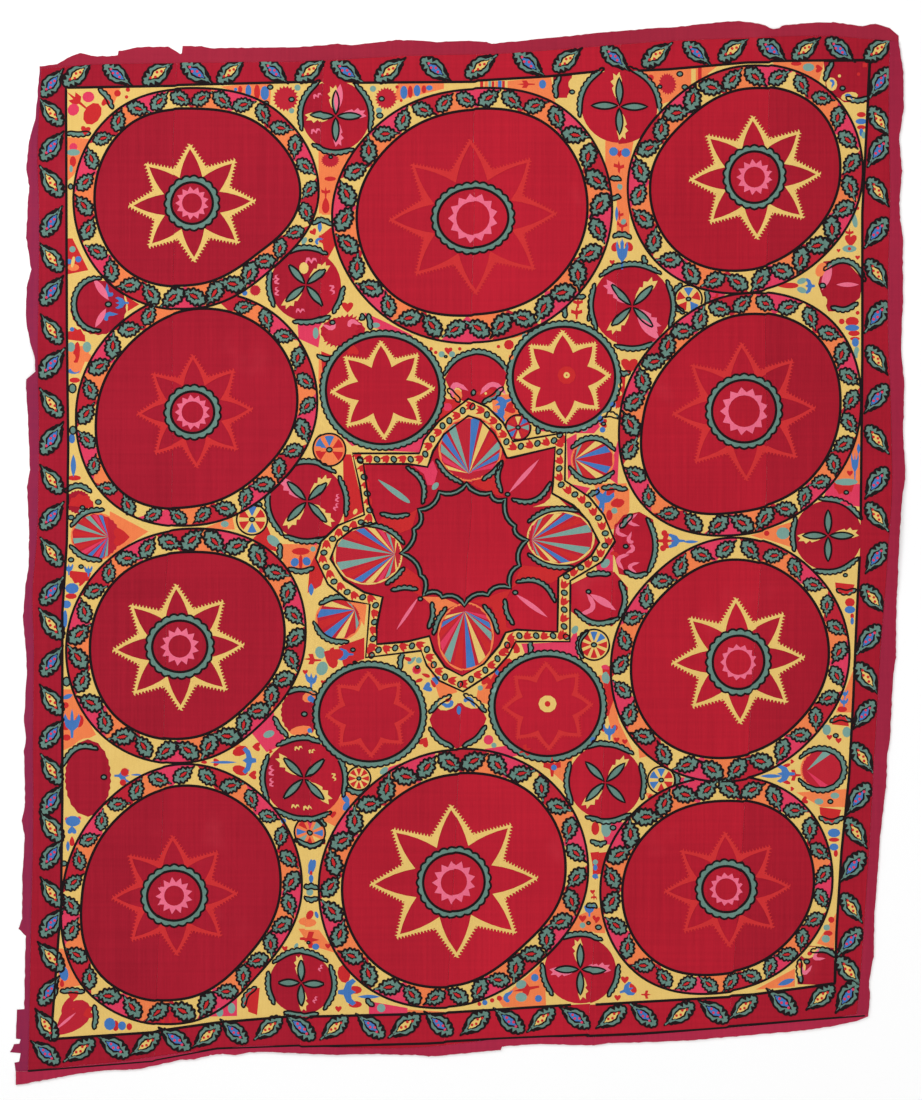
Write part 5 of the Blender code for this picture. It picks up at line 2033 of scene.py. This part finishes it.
@dataclass
class Ornament:
    """The cells, fans, wheels, arches and small forms that fill the ground between the rounds."""

    # x, y, width, height, focus x, y, first and last direction, stripes
    fans: Sequence[tuple] = (
        (297, 204, 96, 92, 258, 205, 80, -80, "TRYBCBYRT"),
        (-262, -145, 102, 94, -226, -124, 100, 290, "RTRYBRBYRT"),
        (803, -478, 98, 92, 768, -480, 74, -74, "CTCCCPC"),
        (-795, 36, 112, 106, -768, 35, 90, 270, "RBPTRTRTRPBPBT"),
    )
    # x, y, width, height of the bare rounds with yellow teeth
    rounds: Sequence[tuple[float, float, float, float]] = (
        (-345, -352, 94, 110), (-813, -495, 108, 176), (-834, 112, 62, 58), (-252, 488, 106, 72),
        (-790, 540, 130, 128),
    )
    # x, y, radius, petals from the top and turning right, base
    wheels: Sequence[tuple] = (
        (133, 275, 28, "YBTRYBTR", Thread.CRIMSON), (508, 560, 30, "BRBRR", Thread.YELLOW),
        (-452, 72, 34, "BRRBRR", Thread.YELLOW), (-217, -495, 26, "RRRRRRRR", Thread.YELLOW),
        (300, -203, 34, "BBRRRRRR", Thread.YELLOW), (448, -498, 30, "BRRRBB", Thread.YELLOW),
        (-325, -615, 34, "PTBYRTBR", Thread.ORANGE), (-282, 228, 36, "BRRORB", Thread.ORANGE),
    )

    def lay(self, work: Needlework) -> None:
        """Lays what the rounds then cover in part."""
        for thread, cells in CELLS.items():
            for cell in cells:
                work.patch(thread, cell)
        for x, y, wide, high in self.rounds:
            Fan((x, y), (wide, high), (x, y), 0, 360, "", Thread.YELLOW, Thread.BARE).draw(work)
        for x, y, wide, high, near, level, start, end, stripes in self.fans:
            Fan((x, y), (wide, high), (near, level), start, end, stripes).draw(work)
        for x, y, radius, petals, base in self.wheels:
            Wheel((x, y), radius, petals, base).draw(work)
        for x, y, across, up, start, end in ARCHES:
            Arch((x, y), (across, up), start, end).draw(work)

    def scatter(self, work: Needlework) -> None:
        """Lays the small forms on top."""
        for thread, shape, rows in SPOTS:
            for x, y, length, *rest in rows:
                turn, width = (*rest, *(0.0, 1.0)[len(rest):])
                work.patch(thread, placed(SHAPES[shape], (x, y), turn, length, width))
        for thread, rows in BARS:
            for x, y, wide, high in rows:
                work.patch(thread, placed(SHAPES[Shape.BAR], (x, y), 0.0, wide, high / (0.3 * wide)))
        for x, y, length, *turn in KNOTS:
            knot(work, (x, y), length, *turn)


# The whole


@dataclass
class Sheets:
    """The thin cotton sheets: six strips of ground and four edgings."""

    cloth: Cloth
    dyes: Dyes
    edging_thickness: float = 2.2
    width_top: tuple[Point, ...] = (
        (0.0, 6), (0.019, 8), (0.033, 20), (0.046, 28), (0.057, 21), (0.067, 18), (0.083, 17), (0.0905, 19),
        (0.0915, 28), (0.117, 36), (0.15, 36), (0.164, 20), (0.166, 21), (0.167, 38), (0.19, 36), (0.2, 32),
        (0.3, 32), (0.35, 35), (0.367, 30), (0.42, 36), (0.467, 29), (0.5, 30), (0.525, 27), (0.533, 22),
        (0.55, 25), (0.6, 27), (0.667, 30), (0.75, 30), (0.8, 37), (0.82, 38), (0.84, 33), (0.855, 25),
        (0.862, 17), (0.87, 19), (0.875, 25), (0.933, 31), (0.967, 27), (0.983, 35), (1.0, 29),
    )
    width_bottom: tuple[Point, ...] = (
        (0.0, 26), (0.033, 22), (0.067, 17), (0.1, 16), (0.133, 22), (0.15, 20), (0.183, 15), (0.2, 17),
        (0.22, 12), (0.235, 12), (0.25, 18), (0.267, 14), (0.37, 17), (0.42, 13), (0.467, 16), (0.483, 21),
        (0.57, 25), (0.572, 18), (0.6, 17), (0.62, 15), (0.68, 18), (0.7, 14), (0.8, 20), (0.93, 20),
        (0.97, 18), (1.0, 15),
    )
    width_left: tuple[Point, ...] = (
        (0.0, 27), (0.0085, 31), (0.0095, 20), (0.018, 18), (0.019, 41), (0.027, 32), (0.0275, 21),
        (0.032, 19), (0.0325, 28), (0.0615, 28), (0.062, 12), (0.135, 11), (0.142, 27), (0.152, 20),
        (0.2, 22), (0.233, 18), (0.25, 25), (0.267, 18), (0.32, 20), (0.333, 15), (0.35, 20), (0.4, 15),
        (0.45, 22), (0.5, 13), (0.53, 17), (0.583, 25), (0.6, 19), (0.683, 27), (0.69, 26), (0.698, 5),
        (0.712, 7), (0.733, 20), (0.75, 27), (0.783, 26), (0.8, 17), (0.833, 29), (0.867, 24), (0.883, 20),
        (0.9, 25), (0.933, 17), (0.95, 8), (1.0, 3),
    )
    width_right: tuple[Point, ...] = (
        (0.0, 25), (0.017, 25), (0.033, 20), (0.06, 26), (0.1, 21), (0.183, 22), (0.233, 30), (0.267, 28),
        (0.283, 32), (0.35, 31), (0.367, 35), (0.4, 30), (0.433, 26), (0.5, 23), (0.533, 23), (0.55, 29),
        (0.6, 26), (0.65, 31), (0.683, 27), (0.733, 33), (0.8, 30), (0.817, 23), (0.833, 20), (0.867, 27),
        (0.9, 22), (0.933, 33), (0.967, 31), (1.0, 20),
    )
    top_corners: Point = (6.0, 12.0)
    bottom_corners: Point = (30.0, 5.0)
    gap: float = 0.3

    def sheet(
        self, name: str, columns: int, rows: int, place: Callable[[int, int], Point], thickness: float,
        finish: bpy.types.Material,
    ) -> bpy.types.Object:
        """One sheet: a grid is added, its points go to their places, and it is thickened and laid.

        Args:
            name: the piece's name.
            columns: the grid's steps across.
            rows: the grid's steps up.
            place: the x and y of a grid point, by its column and row.
            thickness: the sheet's thickness in millimetres.
            finish: its material.
        Returns:
            The sheet.
        """
        deselect()
        bpy.ops.mesh.primitive_grid_add(x_subdivisions=columns, y_subdivisions=rows, size=1.0)
        piece = bpy.context.object
        piece.name = name
        for point in piece.data.vertices:
            column, row = round((point.co.x + 0.5) * columns), round((point.co.y + 0.5) * rows)
            x, y = place(column, row)
            point.co = (x * MM, y * MM, 0.0)
        thick = piece.modifiers.new("cloth", "SOLIDIFY")
        thick.thickness = thickness * MM
        thick.offset = 1.0
        bpy.ops.object.modifier_apply(modifier=thick.name)
        bpy.ops.object.shade_smooth_by_angle(angle=math.radians(50))
        piece.data.materials.append(finish)
        self.cloth.lay(piece, 0.0, slipped=False)
        return piece

    def strips(self) -> None:
        """The six strips of the ground."""
        ground = self.cloth.ground
        rows = round(2200 / ground.grain)
        for number, (left_seam, right_seam) in enumerate(zip(ground.bounds, ground.bounds[1:]), 1):
            columns = round(350 / ground.grain)

            def place(column: int, row: int) -> Point:
                up = row / rows
                left = left_seam[0] + (left_seam[1] - left_seam[0]) * up
                right = right_seam[0] + (right_seam[1] - right_seam[0]) * up
                x, y = ground.point(left + (right - left) * column / columns, up)
                x += self.gap / 2 * ((column == 0) - (column == columns))
                y += self.gap / 2 * ((row == 0) - (row == rows))
                return x, y

            dye = self.dyes.ground[number - 1]
            piece = self.sheet(f"ground_cloth_{number}", columns, rows, place, ground.thickness, dye)
            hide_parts(f"ground_strip_{number}")
            self.cloth.finish(piece, "ground_cotton")

    def edging(
        self, name: str, side: Callable[[float], Point], widths: Sequence[Point], outwards: Point,
        corners: Point | None, ends: Point,
    ) -> None:
        """One edging, folded double, along a side of the ground.

        Args:
            name: the side's name.
            side: the seam it follows, by the share of the side's length.
            widths: its width by that share.
            outwards: the direction away from the ground.
            corners: its width at both outer corners, for an edging that runs on past the ground.
            ends: how far it runs on at both ends, in millimetres.
        """
        shares = sorted({*spread(0.0, 1.0, 221), *(row[0] for row in widths)})
        past = 1 if corners else 0
        rows = len(shares) - 1 + 2 * past
        columns = 4
        wear = random.Random(name)
        frays = [wear.uniform(-0.8, 0.8) for _ in range(rows + 1)]

        def place(column: int, row: int) -> Point:
            number = min(max(row - past, 0), len(shares) - 1)
            share = shares[number]
            x, y = side(share)
            width = read_off(widths, share)
            if corners and row == 0:
                x -= ends[0]
                width = corners[0]
            elif corners and row == rows:
                x += ends[1]
                width = corners[1]
            out = self.gap / 2 + (width + frays[row] * (column == columns) - self.gap / 2) * column / columns
            if not corners:
                y += self.gap / 2 * ((row == 0) - (row == rows))
            return x + outwards[0] * out, y + outwards[1] * out

        thick, dye = self.edging_thickness, self.dyes.edging[name]
        piece = self.sheet(f"edging_cloth_{name}", columns, rows, place, thick, dye)
        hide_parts(f"edging_{name}")
        self.cloth.finish(piece, "edging_cotton")

    def build(self) -> None:
        """Makes all the sheets."""
        self.strips()
        ground = self.cloth.ground
        top_ends = (self.width_left[-1][1], self.width_right[-1][1])
        bottom_ends = (self.width_left[0][1], self.width_right[0][1])
        self.edging("top", ground.top, self.width_top, (0, 1), self.top_corners, top_ends)
        self.edging("bottom", ground.bottom, self.width_bottom, (0, -1), self.bottom_corners, bottom_ends)
        self.edging("left", ground.left, self.width_left, (-1, 0), None, (0, 0))
        self.edging("right", ground.right, self.width_right, (1, 0), None, (0, 0))


@dataclass
class Design:
    """The whole embroidered design, drawn from the back layer to the front."""

    cloth: Cloth
    dyes: Dyes
    frame: tuple[Point, ...] = (
        (-861, 1023), (-633, 1027), (-347, 1034), (32, 1037), (199, 1047), (309, 1058), (465, 1065),
        (637, 1080), (907, 1083), (890, 747), (890, 435), (886, 24), (878, -132), (870, -324), (861, -491),
        (844, -660), (833, -836), (830, -948), (650, -972), (401, -986), (214, -997), (-10, -1011),
        (-347, -1019), (-529, -1034), (-670, -1054), (-894, -1069), (-872, -772), (-869, -548), (-869, -132),
        (-859, 24), (-856, 231), (-859, 490),
    )
    bottom_line: tuple[Point, ...] = (
        (-945, -1140), (-670, -1118), (-529, -1092), (-347, -1085), (-67, -1078), (96, -1069), (401, -1056),
        (538, -1047), (707, -1034), (896, -1019),
    )

    def draw(self) -> None:
        """Draws everything, then stitches it."""
        work = Needlework(self.cloth, self.dyes, limits=list(self.frame))
        work.patch(Thread.YELLOW, list(self.frame))
        work.line("frame", list(self.frame), True, 6.6)
        work.line("frame", list(self.bottom_line), False, 5.4)
        ornament = Ornament()
        ornament.lay(work)
        for rosette in rosettes():
            rosette.draw(work)
        for at, radii, tips, valleys, thread in (
            ((-165, 359), (136, 130), (115, 109), (0.67, 0.50), Thread.YELLOW),
            ((234, 386), (124, 122), (103, 103), (0.72, 0.55), Thread.YELLOW),
            ((-193, -354), (123, 115), (98, 95), (0.72, 0.58), Thread.FADED),
            ((198, -338), (128, 121), (100, 98), (0.72, 0.58), Thread.FADED),
        ):
            GreenRing(at, radii, 11.0, 14.0, 2.8, Thread.BARE, "small_rounds").draw(work)
            Star(at, tips, valleys[0], valleys[1], thread, 2.0, 6.5, 4.5).draw(work)
        CentreStar().draw(work)
        rings = medallions()
        for medallion in (*rings[1:6], *rings[7:], rings[6], rings[0]):
            medallion.draw(work)
        ornament.scatter(work)
        work.stitch()
        work.couch()
        self.leaves(rings)

    def leaves(self, rings: Sequence[Medallion]) -> None:
        """Copies the leaves to the bands and to the border."""
        chance = random.Random(7)
        for ring in rings:
            leaf = Leaf(f"leaf_{ring.number}").model(self.dyes)
            piece = copied(leaf, ring.leaf_places(chance), f"band_leaves_{ring.number}")
            self.cloth.lay(piece, self.cloth.ground.thickness + 0.3)
            self.cloth.finish(piece, "silk_green")
        edge = offset(self.cloth.ground.outline(), -1.0, True)
        for border in borders():
            for filling, places in border.leaf_places(chance).items():
                berry = Thread.RED if filling is Thread.YELLOW else Thread.PINK
                leaf = Leaf(
                    "border_leaf", length=80.0, width=46.0, points=48, outline=4.6, slit_length=0.74,
                    slit_width=0.64, fill_length=0.81, fill_width=0.62, tip=7.0, filling=filling, berry=berry,
                    valley=(0.955, 0.905),
                )
                name = f"border_leaves_{border.name}_{filling.name.lower()}"
                piece = copied(leaf.model(self.dyes), places, name, edge)
                self.cloth.lay(piece, self.cloth.ground.thickness)
                self.cloth.finish(piece, "silk_green")


@dataclass
class Studio:
    """The floor, the soft light and the camera straight above."""

    middle: Point = (7.6, 6.5)
    frame_width: float = 2028.4
    distance: float = 9.0

    def build(self) -> None:
        """Makes the floor, the lights and the camera."""
        deselect()
        bpy.ops.mesh.primitive_plane_add(size=14.0, location=(0.0, 0.0, -0.0006))
        floor = bpy.context.object
        floor.name = "floor"
        floor.data.materials.append(Floor().material())
        for name, place, size, power in (
            ("key", (-3.4, 3.2, 3.0), 2.2, 128.0), ("fill", (3.0, -2.6, 4.6), 4.5, 54.0),
            ("top", (0.2, 0.4, 6.0), 5.0, 80.0),
        ):
            bpy.ops.object.light_add(type="AREA", location=place)
            lamp = bpy.context.object
            lamp.name = name
            lamp.data.size = size
            lamp.data.energy = power
            lamp.rotation_euler = (-Vector(place)).to_track_quat("-Z", "Y").to_euler()
        world = bpy.data.worlds.new("studio")
        world.use_nodes = True
        world.node_tree.nodes["Background"].inputs["Color"].default_value = (1.0, 1.0, 1.0, 1.0)
        world.node_tree.nodes["Background"].inputs["Strength"].default_value = 0.58
        bpy.context.scene.world = world
        bpy.context.scene.view_settings.view_transform = "Standard"
        bpy.ops.object.camera_add(location=(self.middle[0] * MM, self.middle[1] * MM, self.distance))
        camera = bpy.context.object
        camera.data.sensor_fit = "VERTICAL"
        camera.data.sensor_height = 24.0
        frame_height = self.frame_width * 1100 / 922 * MM
        camera.data.lens = camera.data.sensor_height * self.distance / frame_height
        bpy.context.scene.camera = camera


def main() -> None:
    """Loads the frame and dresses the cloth."""
    logging.basicConfig(level=logging.INFO, format="%(message)s")
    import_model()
    cloth = Cloth()
    dyes = Dyes()
    Studio().build()
    Sheets(cloth, dyes).build()
    Design(cloth, dyes).draw()


if __name__ == "__main__":
    main()
